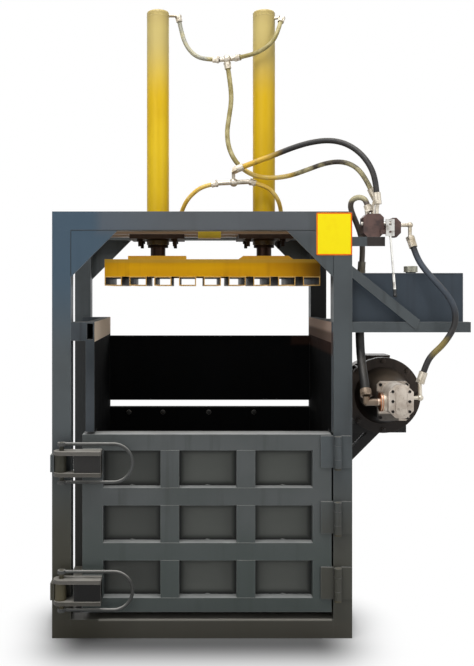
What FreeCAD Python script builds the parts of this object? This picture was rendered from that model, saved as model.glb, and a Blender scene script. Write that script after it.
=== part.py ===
import FreeCAD, Part
import math
import os
import re

import Sketcher
from FreeCAD import Placement, Rotation, Vector

# Vertical recycling baler with two hydraulic cylinders, in millimetres.
# X runs to the right of somebody facing the door, Y runs from the door to the back, Z is up.
# The origin lies on the floor, on the press axis between the two cylinders, half way back.

doc = FreeCAD.newDocument("RecyclingBaler")

# ---------------------------------------------------------------- driving dimensions
SIZES = [
    ("chamber_width", 1010, "bale chamber, inside"),
    ("left_gap", 63, "chamber wall to the left upright"),
    ("right_gap", 9, "chamber to the right upright"),
    ("frame_height", 1820, "floor to the top of a portal"),
    ("frame_depth", 800, "front face to rear face"),
    ("member", 80, "side of the square frame tube"),
    ("member_wall", 5, "wall of the square frame tube"),
    ("gusset_leg", 200, "short side of a corner gusset"),
    ("gusset_plate", 10, "thickness of a corner gusset"),
    ("bearer_pitch", 300, "spacing of the three floor bearers"),
    ("beam_gap", 120, "clear gap between the two cross beams"),
    ("wall_plate", 6, "chamber wall sheet"),
    ("wall_rib", 32, "depth of the wall ribs"),
    ("rib_width", 40, "width of a wall rib"),
    ("floor_plate", 6, "chamber floor sheet"),
    ("rail_base", 1268, "floor to the underside of the side rails"),
    ("rail_height", 80, "height of the side rails"),
    ("stub_depth", 60, "depth of the tube that ties the left rail to the frame"),
    ("rear_wall_top", 895, "top edge of the lower rear wall"),
    ("rear_slot", 35, "gap between the two rear walls"),
    ("rear_panel_top", 1254, "top edge of the upper rear panel"),
    ("door_overlap", 13.5, "door beyond the left chamber wall"),
    ("door_height", 757, "door, outside"),
    ("door_base", 112, "floor to the underside of the door"),
    ("door_thickness", 90, "door, front to back"),
    ("door_side_gap", 8.5, "door to the right upright"),
    ("door_rear_gap", 2, "back of the door to the chamber walls"),
    ("door_top_gap", 11, "top of the door to the wall above it"),
    ("stile_left", 88, "left edge member of the door"),
    ("stile_right", 80, "right edge member of the door"),
    ("grid_bottom", 60, "bottom member of the door"),
    ("grid_top", 68, "top member of the door"),
    ("mullion", 79.5, "upright bar between door pockets"),
    ("grid_rail", 74.5, "level bar between door pockets"),
    ("pocket_rows", 3, "rows of door pockets"),
    ("pocket_columns", 3, "columns of door pockets"),
    ("grid_depth", 50, "depth of the door pockets"),
    ("door_sheet", 8, "sheet at the bottom of the pockets"),
    ("hinge_first", 170, "floor to the lowest hinge"),
    ("hinge_pitch", 279.5, "spacing of the hinges"),
    ("hinge_height", 134, "height of a hinge leaf"),
    ("hinge_plate", 8, "thickness of a hinge leaf"),
    ("hinge_out", 18, "hinge axis in front of the frame"),
    ("hinge_inset", 16, "hinge axis to the inner edge of the upright"),
    ("leaf_reach", 60, "hinge axis to the free edge of the frame leaf"),
    ("door_leaf_reach", 71, "hinge axis to the free edge of the door leaf"),
    ("barrel_radius", 16, "hinge knuckle"),
    ("hinge_pin_radius", 9, "hinge pin"),
    ("knuckle_top", 38, "height of the upper knuckle"),
    ("knuckle_middle", 60, "height of the middle knuckle"),
    ("knuckle_gap", 1, "gap between knuckles"),
    ("pin_clearance", 0.05, "radial clearance of every pin and shaft"),
    ("upper_latch", 754, "floor to the middle of the upper latch"),
    ("lower_latch", 215, "floor to the middle of the lower latch"),
    ("arm_pitch", 90, "spacing of the two arms of a latch"),
    ("arm_plate", 16, "thickness of a latch arm"),
    ("arm_radius", 34, "rounded end of a latch arm"),
    ("arm_gap", 2, "latch arm to the face of the upright"),
    ("web_width", 113, "width of the box that carries the arms"),
    ("web_plate", 6, "wall of the box that carries the arms"),
    ("keeper_plate", 16, "thickness of a keeper"),
    ("keeper_gap", 1, "keeper to the latch arms"),
    ("cam_radius", 25, "latch roller"),
    ("cam_offset", 5, "roller centre to pin centre"),
    ("cam_clearance", 0.4, "closed roller to its keeper"),
    ("latch_pin_radius", 10, "latch pin"),
    ("handle_span", 161, "height of the bent handle rod"),
    ("handle_reach", 306, "latch pin to the outside of the bend"),
    ("handle_rod", 7, "radius of the handle rod"),
    ("handle_eye", 17, "radius of the eye on the latch pin"),
    ("cylinder_spacing", 500, "between the two cylinder axes"),
    ("cylinder_radius", 52.5, "cylinder tube, outside"),
    ("cylinder_bore", 42.5, "cylinder tube, inside radius"),
    ("cylinder_length", 1100, "cylinder tube"),
    ("cylinder_cap", 26, "thickness of the welded top cap"),
    ("cap_rounding", 9, "rounded edge of the top cap"),
    ("cylinder_hang", 22, "tube below the mounting flange"),
    ("gland_length", 60, "rod gland inside the tube"),
    ("gland_head", 14, "gland head below the tube"),
    ("gland_radius", 48, "gland head"),
    ("flange_width", 250, "mounting flange, across the machine"),
    ("flange_plate", 20, "thickness of the mounting flange"),
    ("bolt_radius", 8, "flange bolt"),
    ("bolt_side", 80, "flange bolt to the cylinder axis, across the machine"),
    ("bolt_hang", 34, "flange bolt below the flange"),
    ("nut_radius", 14, "across the corners of a nut, as a radius"),
    ("nut_height", 13, "height of a nut"),
    ("rod_radius", 35, "piston rod"),
    ("piston_length", 55, "piston"),
    ("piston_gap", 12, "piston to the top cap when raised"),
    ("platen_clear", 42, "raised rod pads to the rod glands"),
    ("platen_side_gap", 33, "platen to a chamber side"),
    ("platen_front_gap", 10, "platen to the back of the door"),
    ("platen_rear_gap", 12, "platen to the rear wall"),
    ("platen_beam", 76, "height of the platen frame"),
    ("beam_flange", 38, "flange of the platen channels"),
    ("channel_wall", 6, "wall of the platen channels"),
    ("tube_height", 40, "height of the pressing tubes"),
    ("tube_width", 75, "width of a pressing tube"),
    ("tube_wall", 4, "wall of a pressing tube"),
    ("tube_count", 9, "pressing tubes"),
    ("pad_width", 268, "rod pad, across the machine"),
    ("pad_depth", 220, "rod pad, front to back"),
    ("pad_plate", 22, "thickness of a rod pad"),
    ("pad_bevel", 30, "cut corners of the right rod pad"),
]
SIZES += [
    ("tank_side_gap", 6, "right upright to the oil tank"),
    ("tank_setback", 38, "front of the frame to the oil tank"),
    ("tank_width", 476, "oil tank"),
    ("tank_depth", 400, "oil tank"),
    ("tank_height", 208, "oil tank"),
    ("tank_drop", 472, "top of the frame to the underside of the oil tank"),
    ("tank_wall", 4, "sheet of the oil tank"),
    ("angle_leg", 44, "leg of the cradle angles"),
    ("angle_wall", 4, "wall of the cradle angles"),
    ("cradle_reach", 507, "right face of the frame to the end of the cradle"),
    ("brace_drop", 232, "top of the frame to the upper corner of the cradle brace"),
    ("brace_end", 288, "right face of the frame to the upper end of the brace"),
    ("brace_lift", 9, "underside of the oil tank to the upper end of the brace at the cradle"),
    ("brace_width", 50, "upright width of the brace"),
    ("filler_side", 270, "tank side to the filler cap"),
    ("filler_back", 70, "tank front to the filler cap"),
    ("filler_radius", 30, "filler cap"),
    ("filler_height", 34, "filler cap"),
    ("filler_neck", 22, "radius of the filler neck"),
    ("neck_height", 14, "filler neck above the tank"),
    ("bracket_length", 141, "valve bracket"),
    ("bracket_depth", 66, "valve bracket, front to back"),
    ("bracket_drop", 148, "top of the frame to the underside of the valve bracket"),
    ("bracket_height", 40, "valve bracket"),
    ("valve_side", 49, "right face of the frame to the valve"),
    ("valve_width", 87, "valve casting"),
    ("valve_depth", 76, "valve casting"),
    ("valve_height", 99, "valve casting"),
    ("valve_corner", 16, "cut corners of the valve casting"),
    ("relief_width", 56, "right block of the valve"),
    ("relief_gap", 25, "neck between the two valve blocks"),
    ("relief_height", 84, "right block of the valve"),
    ("spool_radius", 9, "valve spool"),
    ("spool_height", 56, "underside of the valve to the spool axis"),
    ("spool_depth", 15, "front of the valve to the spool axis"),
    ("lever_arm", 36, "lever pivot to the spool axis"),
    ("lever_out", 15, "lever in front of the frame"),
    ("slot_clearance", 0.6, "spool pin to the sides of the lever slot"),
    ("lever_side", 158, "right face of the frame to the lever pivot"),
    ("lever_length", 270, "lever pivot to the knob"),
    ("lever_lean", 4.5, "lean of the lever in degrees"),
    ("lever_radius", 4.5, "lever rod"),
    ("grip_radius", 7, "lever grip"),
    ("knob_radius", 9, "lever knob"),
    ("motor_side", 178, "right face of the frame to the motor axis"),
    ("motor_drop", 338, "underside of the oil tank to the motor axis"),
    ("shaft_height", 137, "motor axis to its feet"),
    ("motor_overhang", 40, "motor flange in front of the motor shelf"),
    ("motor_flange", 170, "radius of the motor flange"),
    ("motor_flange_plate", 16, "thickness of the motor flange"),
    ("motor_radius", 116, "motor barrel under the fins"),
    ("motor_bore", 72, "inside radius of the wound stator"),
    ("motor_length", 320, "motor barrel"),
    ("fin_height", 14, "motor fins"),
    ("fin_width", 5, "motor fins"),
    ("fin_count", 22, "motor fins"),
    ("fan_cover_length", 92, "fan cover"),
    ("fan_cover_wall", 3, "fan cover sheet"),
    ("shaft_radius", 14, "motor shaft"),
    ("fan_radius", 104, "cooling fan"),
    ("bell_length", 204, "bell between the motor and the pump"),
    ("bell_wall", 10, "wall of the bell"),
    ("bell_root", 128, "bell at the motor, outside radius"),
    ("bell_nose", 76, "bell at the pump, outside radius"),
    ("coupling_radius", 44, "shaft coupling"),
    ("pump_plate", 14, "pump mounting plate"),
    ("pump_plate_width", 138, "pump mounting plate"),
    ("pump_plate_height", 168, "pump mounting plate"),
    ("pump_width", 106, "pump body"),
    ("pump_length", 120, "pump body"),
    ("pump_cover", 24, "thickness of the pump cover"),
    ("cover_boss", 5, "raised middle of the pump cover"),
    ("gear_centres", 32, "drive gear to idler gear"),
    ("gear_teeth", 10, "teeth of a pump gear"),
    ("gear_tip", 19, "tip radius of a pump gear"),
    ("gear_root", 12.4, "root radius of a pump gear"),
    ("gear_length", 50, "pump gears"),
    ("journal_radius", 9, "journals of the pump gears"),
    ("port_boss", 37, "radius of the suction port of the pump"),
    ("port_level", 5, "suction port above the axis of the drive gear"),
    ("port_flange", 16, "thickness of the suction flange"),
    ("suction_pipe", 15, "radius of the suction elbow"),
    ("shelf_right", 296, "right face of the frame to the end of the motor shelf"),
    ("shelf_overhang", 18, "motor shelf beyond its struts, front and back"),
    ("shelf_plate", 10, "motor shelf plate"),
    ("shelf_edge", 40, "edge angles of the motor shelf"),
    ("strut_run", 262, "horizontal length of a shelf strut"),
    ("strut_width", 56, "upright width of a shelf strut"),
    ("sign_width", 152, "sign plate"),
    ("sign_height", 182, "sign plate"),
    ("sign_plate", 2, "thickness of the sign plate"),
    ("sign_drop", 5, "top of the frame to the sign plate"),
    ("feed_hose", 12.5, "radius of the rod side feed hose"),
    ("press_hose", 13, "radius of the pump hose"),
    ("cap_hose", 11, "radius of the cap side feed hose"),
    ("branch_hose", 10, "radius of the four branch hoses"),
    ("return_hose", 12, "radius of the return hose"),
    ("suction_hose", 19, "radius of the suction hose"),
    ("ferrule_wall", 4, "crimped collar outside its hose"),
    ("ferrule_long", 34, "crimped collar of a feed hose"),
    ("ferrule_short", 20, "crimped collar of a branch hose"),
    ("nut_long", 16, "nut of a feed hose"),
    ("nut_short", 10, "nut of a branch hose"),
    ("port_radius", 8, "pipe between a hose nut and its port"),
    ("tube_seat", 0.3, "pipe end to the curved wall that it meets"),
    ("tee_radius", 20, "middle of a hose tee"),
]

# Places that follow from the driving dimensions.
PLACES = [
    ("chamber_half", "chamber_width / 2"),
    ("wall_thickness", "wall_plate + wall_rib"),
    ("wall_outer", "chamber_half + wall_thickness"),
    ("frame_right", "chamber_half + right_gap + member"),
    ("frame_left", "wall_outer + left_gap + member"),
    ("frame_width", "frame_left + frame_right"),
    ("front", "-frame_depth / 2"),
    ("rear", "frame_depth / 2"),
    ("inner_left", "member - frame_left"),
    ("inner_right", "frame_right - member"),
    ("inner_front", "front + member"),
    ("inner_rear", "rear - member"),
    ("inner_width", "frame_width - 2 * member"),
    ("inner_depth", "frame_depth - 2 * member"),
    ("beam_base", "frame_height - member"),
    ("door_back", "front + door_thickness"),
    ("wall_front", "door_back + door_rear_gap"),
    ("rear_face", "inner_rear - wall_thickness"),
    ("floor_top", "member + floor_plate"),
    ("door_right", "inner_right - door_side_gap"),
    ("door_left", "-wall_outer - door_overlap"),
    ("door_width", "door_right - door_left"),
    ("door_top", "door_base + door_height"),
    ("upper_wall_base", "door_top + door_top_gap"),
    ("pocket_width", "(door_width - stile_left - stile_right - (pocket_columns - 1) * mullion)"
                     " / pocket_columns"),
    ("pocket_height", "(door_height - grid_bottom - grid_top - (pocket_rows - 1) * grid_rail)"
                      " / pocket_rows"),
    ("hinge_x", "inner_right + hinge_inset"),
    ("hinge_y", "front - hinge_out"),
    ("latch_x", "keeper_plate + cam_clearance + cam_radius + cam_offset - frame_left"),
    ("latch_y", "front - arm_gap - arm_radius"),
    ("cylinder_half", "cylinder_spacing / 2"),
    ("tube_base", "beam_base - flange_plate - cylinder_hang"),
    ("cylinder_top", "tube_base + cylinder_length"),
    ("rod_base", "tube_base - gland_head - platen_clear"),
    ("platen_top", "rod_base - pad_plate"),
    ("platen_base", "platen_top - platen_beam - tube_height"),
    ("platen_width", "chamber_width - 2 * platen_side_gap"),
    ("platen_front", "door_back + platen_front_gap"),
    ("platen_depth", "rear_face - platen_rear_gap - platen_front"),
    ("tube_gap", "(platen_width - tube_count * tube_width) / (tube_count - 1)"),
    ("piston_top", "cylinder_top - cylinder_cap - piston_gap"),
    ("tank_left", "frame_right + tank_side_gap"),
    ("tank_front", "front + tank_setback"),
    ("tank_base", "frame_height - tank_drop"),
    ("tank_top", "tank_base + tank_height"),
    ("brace_top", "frame_height - brace_drop"),
    ("brace_foot", "tank_base + brace_lift"),
    ("bracket_base", "frame_height - bracket_drop"),
    ("valve_left", "frame_right + valve_side"),
    ("valve_base", "bracket_base + bracket_height"),
    ("valve_front", "front + angle_wall"),
    ("spool_z", "valve_base + spool_height"),
    ("spool_y", "valve_front + spool_depth"),
    ("lever_x", "frame_right + lever_side"),
    ("lever_y", "front - lever_out"),
    ("pivot_z", "spool_z - lever_arm"),
    ("motor_x", "frame_right + motor_side"),
    ("motor_height", "tank_base - motor_drop"),
    ("rib_pitch", "(inner_rear - wall_front - rib_width) / 3"),
    ("shelf_y", "wall_front + rib_pitch - shelf_overhang"),
    ("shelf_depth", "rib_pitch + rib_width + 2 * shelf_overhang"),
    ("motor_y", "shelf_y - motor_overhang"),
    ("bell_front", "motor_y - bell_length"),
    ("pump_back", "bell_front - pump_plate"),
    ("pump_front", "pump_back - pump_length"),
    ("shelf_top", "motor_height - shaft_height"),
]

sizes = doc.addObject("Spreadsheet::Sheet", "Sizes")
places = doc.addObject("Spreadsheet::Sheet", "Places")
OWNER = {alias: "Sizes." for alias, _, _ in SIZES}
OWNER.update({alias: "Places." for alias, _ in PLACES})


def formula(text):
    """A formula in size names, each pointed at the sheet that holds it."""
    return re.sub(r"[a-z][a-z_]*", lambda word: OWNER.get(word.group(), "") + word.group(), str(text))


for row, (alias, amount, meaning) in enumerate(SIZES, 1):
    sizes.set(f"A{row}", meaning)
    sizes.set(f"B{row}", str(amount))
    sizes.setAlias(f"B{row}", alias)
for row, (alias, text) in enumerate(PLACES, 1):
    places.set(f"A{row}", "=" + formula(text))
    places.setAlias(f"A{row}", alias)
doc.recompute()


def size(alias):
    """The number behind a size or place."""
    return float((sizes if OWNER[alias] == "Sizes." else places).get(alias))


# ---------------------------------------------------------------- building blocks
AXIS_TURN = {
    "x": Rotation(Vector(0, 1, 0), 90),
    "y": Rotation(Vector(1, 0, 0), -90),
    "z": Rotation(),
}
NODES = []


def bind(item, **formulas):
    """Tie properties of an object to formulas in size names."""
    for name, text in formulas.items():
        item.setExpression(name, formula(text))
    return item


def put(item, at, turn=Rotation()):
    """Turn an object and tie its place to three formulas."""
    item.Placement = Placement(Vector(), turn)
    for letter, text in zip("xyz", at):
        item.setExpression(f"Placement.Base.{letter}", formula(text))
    return item


def node(item, label):
    """Name a finished sub-part."""
    item.Label = label
    NODES.append(item)
    return item


def block(at, length, width, height):
    """A box from its low corner."""
    item = doc.addObject("Part::Box", "Block")
    return put(bind(item, Length=length, Width=width, Height=height), at)


def bar(at, radius, length, axis="z"):
    """A round bar from the middle of its low end."""
    item = doc.addObject("Part::Cylinder", "Bar")
    return put(bind(item, Radius=radius, Height=length), at, AXIS_TURN[axis])


def hex_bar(at, radius, length, axis="z"):
    """A six-sided bar, by the radius across its corners."""
    item = doc.addObject("Part::Prism", "HexBar")
    item.Polygon = 6
    return put(bind(item, Circumradius=radius, Height=length), at, AXIS_TURN[axis])


def group(items):
    """Separate solids kept together."""
    item = doc.addObject("Part::Compound", "Group")
    item.Links = items
    return item


def joined(items):
    """Solids welded or cast into one."""
    item = doc.addObject("Part::MultiFuse", "Joined")
    item.Shapes = items
    item.Refine = True
    return item


def without(base, tools):
    """One solid with others cut out of it."""
    item = doc.addObject("Part::Cut", "Without")
    item.Base = base
    item.Tool = tools[0] if len(tools) == 1 else joined(tools)
    item.Refine = True
    return item


def square_tube(at, axis, length, width="member", height="member", wall="member_wall"):
    """A rectangular tube from its low corner, open at both ends."""
    sides = {"x": (length, width, height), "y": (width, length, height), "z": (width, height, length)}[axis]
    inner_at = [text if letter == axis else f"{text} + {wall}" for letter, text in zip("xyz", at)]
    inner = [side if letter == axis else f"{side} - 2 * {wall}" for letter, side in zip("xyz", sides)]
    return without(block(at, *sides), [block(inner_at, *inner)])


def number(text):
    """The number that a formula in size names gives."""
    return float(sizes.evalExpression(formula(text)))


def origin_plane(owner, role):
    """One of a body's own planes."""
    return next(feature for feature in owner.Origin.OriginFeatures if feature.Role == role)


def outline_sketch(owner, role, outline):
    """A closed outline of straight lines, each corner tied to two formulas."""
    sketch = owner.newObject("Sketcher::SketchObject", "Outline")
    sketch.AttachmentSupport = [(origin_plane(owner, role), "")]
    sketch.MapMode = "FlatFace"
    corners = [Vector(number(across), number(up), 0) for across, up in outline]
    count = len(corners)
    for index in range(count):
        sketch.addGeometry(Part.LineSegment(corners[index], corners[(index + 1) % count]), False)
    for index in range(count):
        sketch.addConstraint(Sketcher.Constraint("Coincident", index, 2, (index + 1) % count, 1))
    for index, corner in enumerate(outline):
        for kind, axis, text, place in zip(("DistanceX", "DistanceY"), (-2, -1), corner, corners[index]):
            if str(text) == "0":
                sketch.addConstraint(Sketcher.Constraint("PointOnObject", index, 1, axis))
                continue
            tie = sketch.addConstraint(Sketcher.Constraint(kind, -1, 1, index, 1, place))
            sketch.setExpression(f"Constraints[{tie}]", formula(text))
    return sketch


def padded(outline, length, at, role="XZ_Plane", turn=Rotation()):
    """An outline pushed along +X, +Y or +Z, whichever its plane faces."""
    owner = doc.addObject("PartDesign::Body", "Profile")
    pad = owner.newObject("PartDesign::Pad", "Pad")
    pad.Profile = outline_sketch(owner, role, outline)
    pad.Reversed = role == "XZ_Plane"
    bind(pad, Length=length)
    return put(owner, at, turn)


def turned(outline, at, axis="z"):
    """An outline of radius and height pairs turned about its own axis."""
    owner = doc.addObject("PartDesign::Body", "Turned")
    sketch = outline_sketch(owner, "XZ_Plane", outline)
    revolution = owner.newObject("PartDesign::Revolution", "Revolution")
    revolution.Profile = sketch
    revolution.ReferenceAxis = (sketch, ["V_Axis"])
    revolution.Angle = 360
    return put(owner, at, AXIS_TURN[axis])


# ---------------------------------------------------------------- the frame
def portal(face, gusset_face, keepers):
    """Two uprights, a top beam, a sill, two gussets and any keepers, as separate tubes and plates."""
    pieces = [
        square_tube(("-frame_left", face, "0"), "z", "beam_base"),
        square_tube(("inner_right", face, "0"), "z", "beam_base"),
        square_tube(("-frame_left", face, "beam_base"), "x", "frame_width"),
        square_tube(("inner_left", face, "0"), "x", "inner_width"),
        padded([("0", "0"), ("gusset_leg", "gusset_leg"), ("0", "gusset_leg")], "gusset_plate",
               ("inner_left", gusset_face, "beam_base - gusset_leg")),
        padded([("gusset_leg", "0"), ("gusset_leg", "gusset_leg"), ("0", "gusset_leg")], "gusset_plate",
               ("inner_right - gusset_leg", gusset_face, "beam_base - gusset_leg")),
    ]
    return group(pieces + keepers)


def keeper(latch_height):
    """The upright strip on the left upright that a latch roller bears on."""
    return block(("-frame_left", "latch_y - cam_radius / 2", f"{latch_height} - (arm_pitch - arm_plate) / 2"
                  " + keeper_gap"),
                 "keeper_plate", "front - latch_y + cam_radius / 2",
                 "arm_pitch - arm_plate - 2 * keeper_gap")


node(portal("front", "front", [keeper("upper_latch"), keeper("lower_latch")]), "front_portal")
node(portal("inner_rear", "rear - gusset_plate", []), "rear_portal")
node(group([square_tube((side, "inner_front", "beam_base"), "y", "inner_depth")
            for side in ("-frame_left", "inner_right")]), "top_side_beams")
node(group([square_tube((side, "inner_front", "0"), "y", "inner_depth")
            for side in ("-frame_left", "inner_right")]), "side_sills")
node(group([square_tube((f"{step} * bearer_pitch - member / 2", "inner_front", "0"), "y", "inner_depth")
            for step in (-1, 0, 1)]), "floor_bearers")


def bolt_places():
    """Where the flange bolts stand, for both cylinders."""
    return [(f"{cylinder} * cylinder_half + {side} * bolt_side", f"{back} * (beam_gap + member) / 2")
            for cylinder in (-1, 1) for side in (-1, 1) for back in (-1, 1)]


cross_beams = [square_tube(("inner_left", low_side, "beam_base"), "x", "inner_width")
               for low_side in ("-beam_gap / 2 - member", "beam_gap / 2")]
bolt_holes = [bar((across, back, "beam_base - member"), "bolt_radius + pin_clearance", "3 * member")
              for across, back in bolt_places()]
node(group([without(beam, [hole for hole, (_, back) in zip(bolt_holes, bolt_places())
                           if back.startswith("-1") == low])
            for beam, low in zip(cross_beams, (True, False))]), "cross_beams")

# ---------------------------------------------------------------- the bale chamber
node(block(("-wall_outer", "wall_front", "member"), "2 * wall_outer", "inner_rear - wall_front",
           "floor_plate"), "chamber_floor")


def side_wall(side):
    """A chamber side: sheet with a step over the door, ribs outside it and the rail along its top."""
    step = "wall_front - front"
    depth = "inner_rear - front"
    outline = [(step, "0"), (depth, "0"), (depth, "rail_base - floor_top"), ("0", "rail_base - floor_top"),
               ("0", "upper_wall_base - floor_top"), (step, "upper_wall_base - floor_top")]
    sheet_left = "chamber_half" if side > 0 else "-chamber_half - wall_plate"
    rib_left = "chamber_half + wall_plate" if side > 0 else "-wall_outer"
    wall_height = "rail_base - floor_top"
    parts = [padded(outline, "wall_plate", (sheet_left, "front", "floor_top"), "YZ_Plane")]
    rib_front = "inner_front" if side > 0 else "front"
    if side < 0:
        parts.append(block((rib_left, "front", "upper_wall_base"), "wall_rib", "rib_width",
                           "rail_base - upper_wall_base"))
    for count in range(4):
        back = f"wall_front + {count} * rib_pitch"
        parts.append(block((rib_left, back, "floor_top"), "wall_rib", "rib_width", wall_height))
    parts.append(block((rib_left, rib_front, "upper_wall_base"), "wall_rib", f"inner_rear - {rib_front}",
                       "rib_width"))
    rail_left = "chamber_half" if side > 0 else "-wall_outer"
    parts.append(square_tube((rail_left, rib_front, "rail_base"), "y", f"inner_rear - {rib_front}",
                             "wall_thickness", "rail_height", "wall_plate"))
    if side > 0:
        parts.append(block(("chamber_half", "front", "rail_base"), "inner_right - chamber_half", "member",
                           "rail_height"))
    if side < 0:
        parts.append(block(("inner_left", "front", "rail_base"), "-wall_outer - inner_left", "stub_depth",
                           "rail_height"))
        parts.append(block(("inner_left - member / 2", "inner_rear - stub_depth / 3", "rail_base"),
                           "-wall_outer - inner_left + member / 2", "stub_depth / 3", "rail_height"))
    return joined(parts)


node(side_wall(-1), "side_wall_left")
node(side_wall(1), "side_wall_right")


def ribbed_wall(base, height):
    """A rear wall: sheet toward the chamber, upright ribs and two edge flanges behind it."""
    sheet = block(("-chamber_half", "rear_face", base), "chamber_width", "wall_plate", height)
    ribs = [block((f"-chamber_half + {count} * (chamber_width - rib_width) / 4", "rear_face + wall_plate",
                   base), "rib_width", "wall_rib", height) for count in range(5)]
    flanges = [block(("-chamber_half", "rear_face + wall_plate", level), "chamber_width", "wall_rib",
                     "wall_plate") for level in (base, f"{base} + {height} - wall_plate")]
    return joined([sheet] + ribs + flanges)


node(ribbed_wall("floor_top", "rear_wall_top - floor_top"), "rear_wall")
node(ribbed_wall("rear_wall_top + rear_slot", "rear_panel_top - rear_wall_top - rear_slot"), "rear_panel")

# ---------------------------------------------------------------- the door
def door_pockets():
    """The nine recesses, as cutters through the grid."""
    return [block((f"door_left + stile_left + {column} * (pocket_width + mullion)", "front",
                   f"door_base + grid_bottom + {row} * (pocket_height + grid_rail)"),
                  "pocket_width", "grid_depth", "pocket_height")
            for column in range(int(size("pocket_columns"))) for row in range(int(size("pocket_rows")))]


node(without(block(("door_left", "front", "door_base"), "door_width", "grid_depth", "door_height"),
             door_pockets()), "door_grid")
door_ribs = [block((f"door_left + {count} * (door_width - rib_width) / 4", "front + grid_depth + door_sheet",
                    "door_base"), "rib_width", "door_thickness - grid_depth - door_sheet", "door_height")
             for count in range(5)]
door_edges = [block(("door_left", "front + grid_depth + door_sheet", level), "door_width",
                    "door_thickness - grid_depth - door_sheet", "wall_plate")
              for level in ("door_base", "door_top - wall_plate")]
node(joined([block(("door_left", "front + grid_depth", "door_base"), "door_width", "door_sheet",
                   "door_height")] + door_ribs + door_edges), "door_skin")

# ---------------------------------------------------------------- the door hinges
HINGES = [f"hinge_first + {count} * hinge_pitch" for count in range(3)]
KNUCKLE_BOTTOM = "hinge_height - knuckle_top - knuckle_middle"


def hinge_leaf(base, side, reach, knuckles):
    """A hinge leaf on one side of the pin: a plate on the face, with a tongue to each of its knuckles."""
    inner = "barrel_radius + knuckle_gap"
    plate_at = "hinge_x + " + inner if side > 0 else f"hinge_x - {reach}"
    parts = [block((plate_at, "front - hinge_plate", base), f"{reach} - ({inner})", "hinge_plate",
                   "hinge_height")]
    for low, high in knuckles:
        tongue_at = "hinge_x" if side > 0 else plate_at
        parts.append(block((tongue_at, "front - hinge_plate", f"{base} + {low}"), reach, "hinge_plate",
                           f"{high} - ({low})"))
        parts.append(bar(("hinge_x", "hinge_y", f"{base} + {low}"), "barrel_radius", f"{high} - ({low})"))
    bore = bar(("hinge_x", "hinge_y", base), "hinge_pin_radius + pin_clearance", "hinge_height")
    return without(joined(parts), [bore])


door_knuckles = [(f"{KNUCKLE_BOTTOM} + knuckle_gap", f"{KNUCKLE_BOTTOM} + knuckle_middle - knuckle_gap")]
frame_knuckles = [("0", KNUCKLE_BOTTOM), ("hinge_height - knuckle_top", "hinge_height")]
door_leaves = [hinge_leaf(base, -1, "door_leaf_reach", door_knuckles) for base in HINGES]
frame_leaves = [hinge_leaf(base, 1, "leaf_reach", frame_knuckles) for base in HINGES]
node(group(door_leaves), "door_hinge_leaves")
node(group(frame_leaves), "frame_hinge_leaves")
node(group([joined([bar(("hinge_x", "hinge_y", f"{base} - hinge_plate"), "hinge_pin_radius",
                        "hinge_height + hinge_plate"),
                    bar(("hinge_x", "hinge_y", f"{base} - hinge_plate"), "barrel_radius - knuckle_gap",
                        "hinge_plate")]) for base in HINGES]), "hinge_pins")


# ---------------------------------------------------------------- the two latches
def latch_arm(base):
    """A flat arm with a round end, bored for the latch pin."""
    length = "door_left - latch_x - web_width / 4 + web_width"
    plate = block(("latch_x", "latch_y - arm_radius", base), length, "2 * arm_radius", "arm_plate")
    end = bar(("latch_x", "latch_y", base), "arm_radius", "arm_plate")
    return plate, end


def latch_bracket(height):
    """Both arms of a latch and the open-backed box between them, welded to the door."""
    arms = []
    for level in (f"{height} - arm_pitch / 2 - arm_plate / 2", f"{height} + arm_pitch / 2 - arm_plate / 2"):
        arms += latch_arm(level)
    low = f"{height} - arm_pitch / 2 + arm_plate / 2"
    web_at = "door_left - web_width / 4"
    box = [block((web_at, "latch_y - arm_radius + web_plate", low), "web_width", "web_plate",
                 "arm_pitch - arm_plate")]
    for side_at in ("door_left + knuckle_gap", f"{web_at} + web_width - web_plate"):
        box.append(block((side_at, "latch_y - arm_radius + web_plate", low), "web_plate",
                         "2 * arm_radius + arm_gap - web_plate", "arm_pitch - arm_plate"))
    bore = bar(("latch_x", "latch_y", f"{height} - arm_pitch"), "latch_pin_radius + pin_clearance",
               "2 * arm_pitch")
    return without(joined(arms + box), [bore])


def latch_cam(height):
    """The latch pin with its off-centre roller between the arms and a head under and over them."""
    roller_height = "arm_pitch - arm_plate - 2 * keeper_gap"
    pin_low = f"{height} - handle_span / 2 - handle_rod - keeper_gap"
    return joined([
        bar(("latch_x", "latch_y", pin_low), "latch_pin_radius",
            "handle_span + 2 * handle_rod + 2 * keeper_gap"),
        bar(("latch_x - cam_offset", "latch_y", f"{height} - (arm_pitch - arm_plate) / 2 + keeper_gap"),
            "cam_radius", roller_height),
    ])


def latch_handle(height):
    """A round rod bent into a U, with an eye at each end for the latch pin."""
    bend = "handle_span / 2"
    straight = "handle_reach - handle_rod - handle_span / 2 - handle_eye / 2"
    parts = []
    for level in (f"{height} - handle_span / 2", f"{height} + handle_span / 2"):
        parts.append(bar(("latch_x + handle_eye / 2", "latch_y", level), "handle_rod", straight, "x"))
        parts.append(bar(("latch_x", "latch_y", f"{level} - handle_rod"), "handle_eye", "2 * handle_rod"))
    arc = doc.addObject("Part::Torus", "Bend")
    bind(arc, Radius1=bend, Radius2="handle_rod")
    arc.Angle3 = 180
    put(arc, ("latch_x + handle_reach - handle_rod - handle_span / 2", "latch_y", height),
        Rotation(Vector(1, 1, 1), 240))
    bore = bar(("latch_x", "latch_y", f"{height} - handle_span"), "latch_pin_radius + pin_clearance",
               "2 * handle_span")
    return without(joined(parts + [arc]), [bore])


for name, height in (("upper", "upper_latch"), ("lower", "lower_latch")):
    node(latch_bracket(height), f"{name}_latch_bracket")
    node(latch_cam(height), f"{name}_latch_cam")
    node(latch_handle(height), f"{name}_latch_handle")

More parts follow.
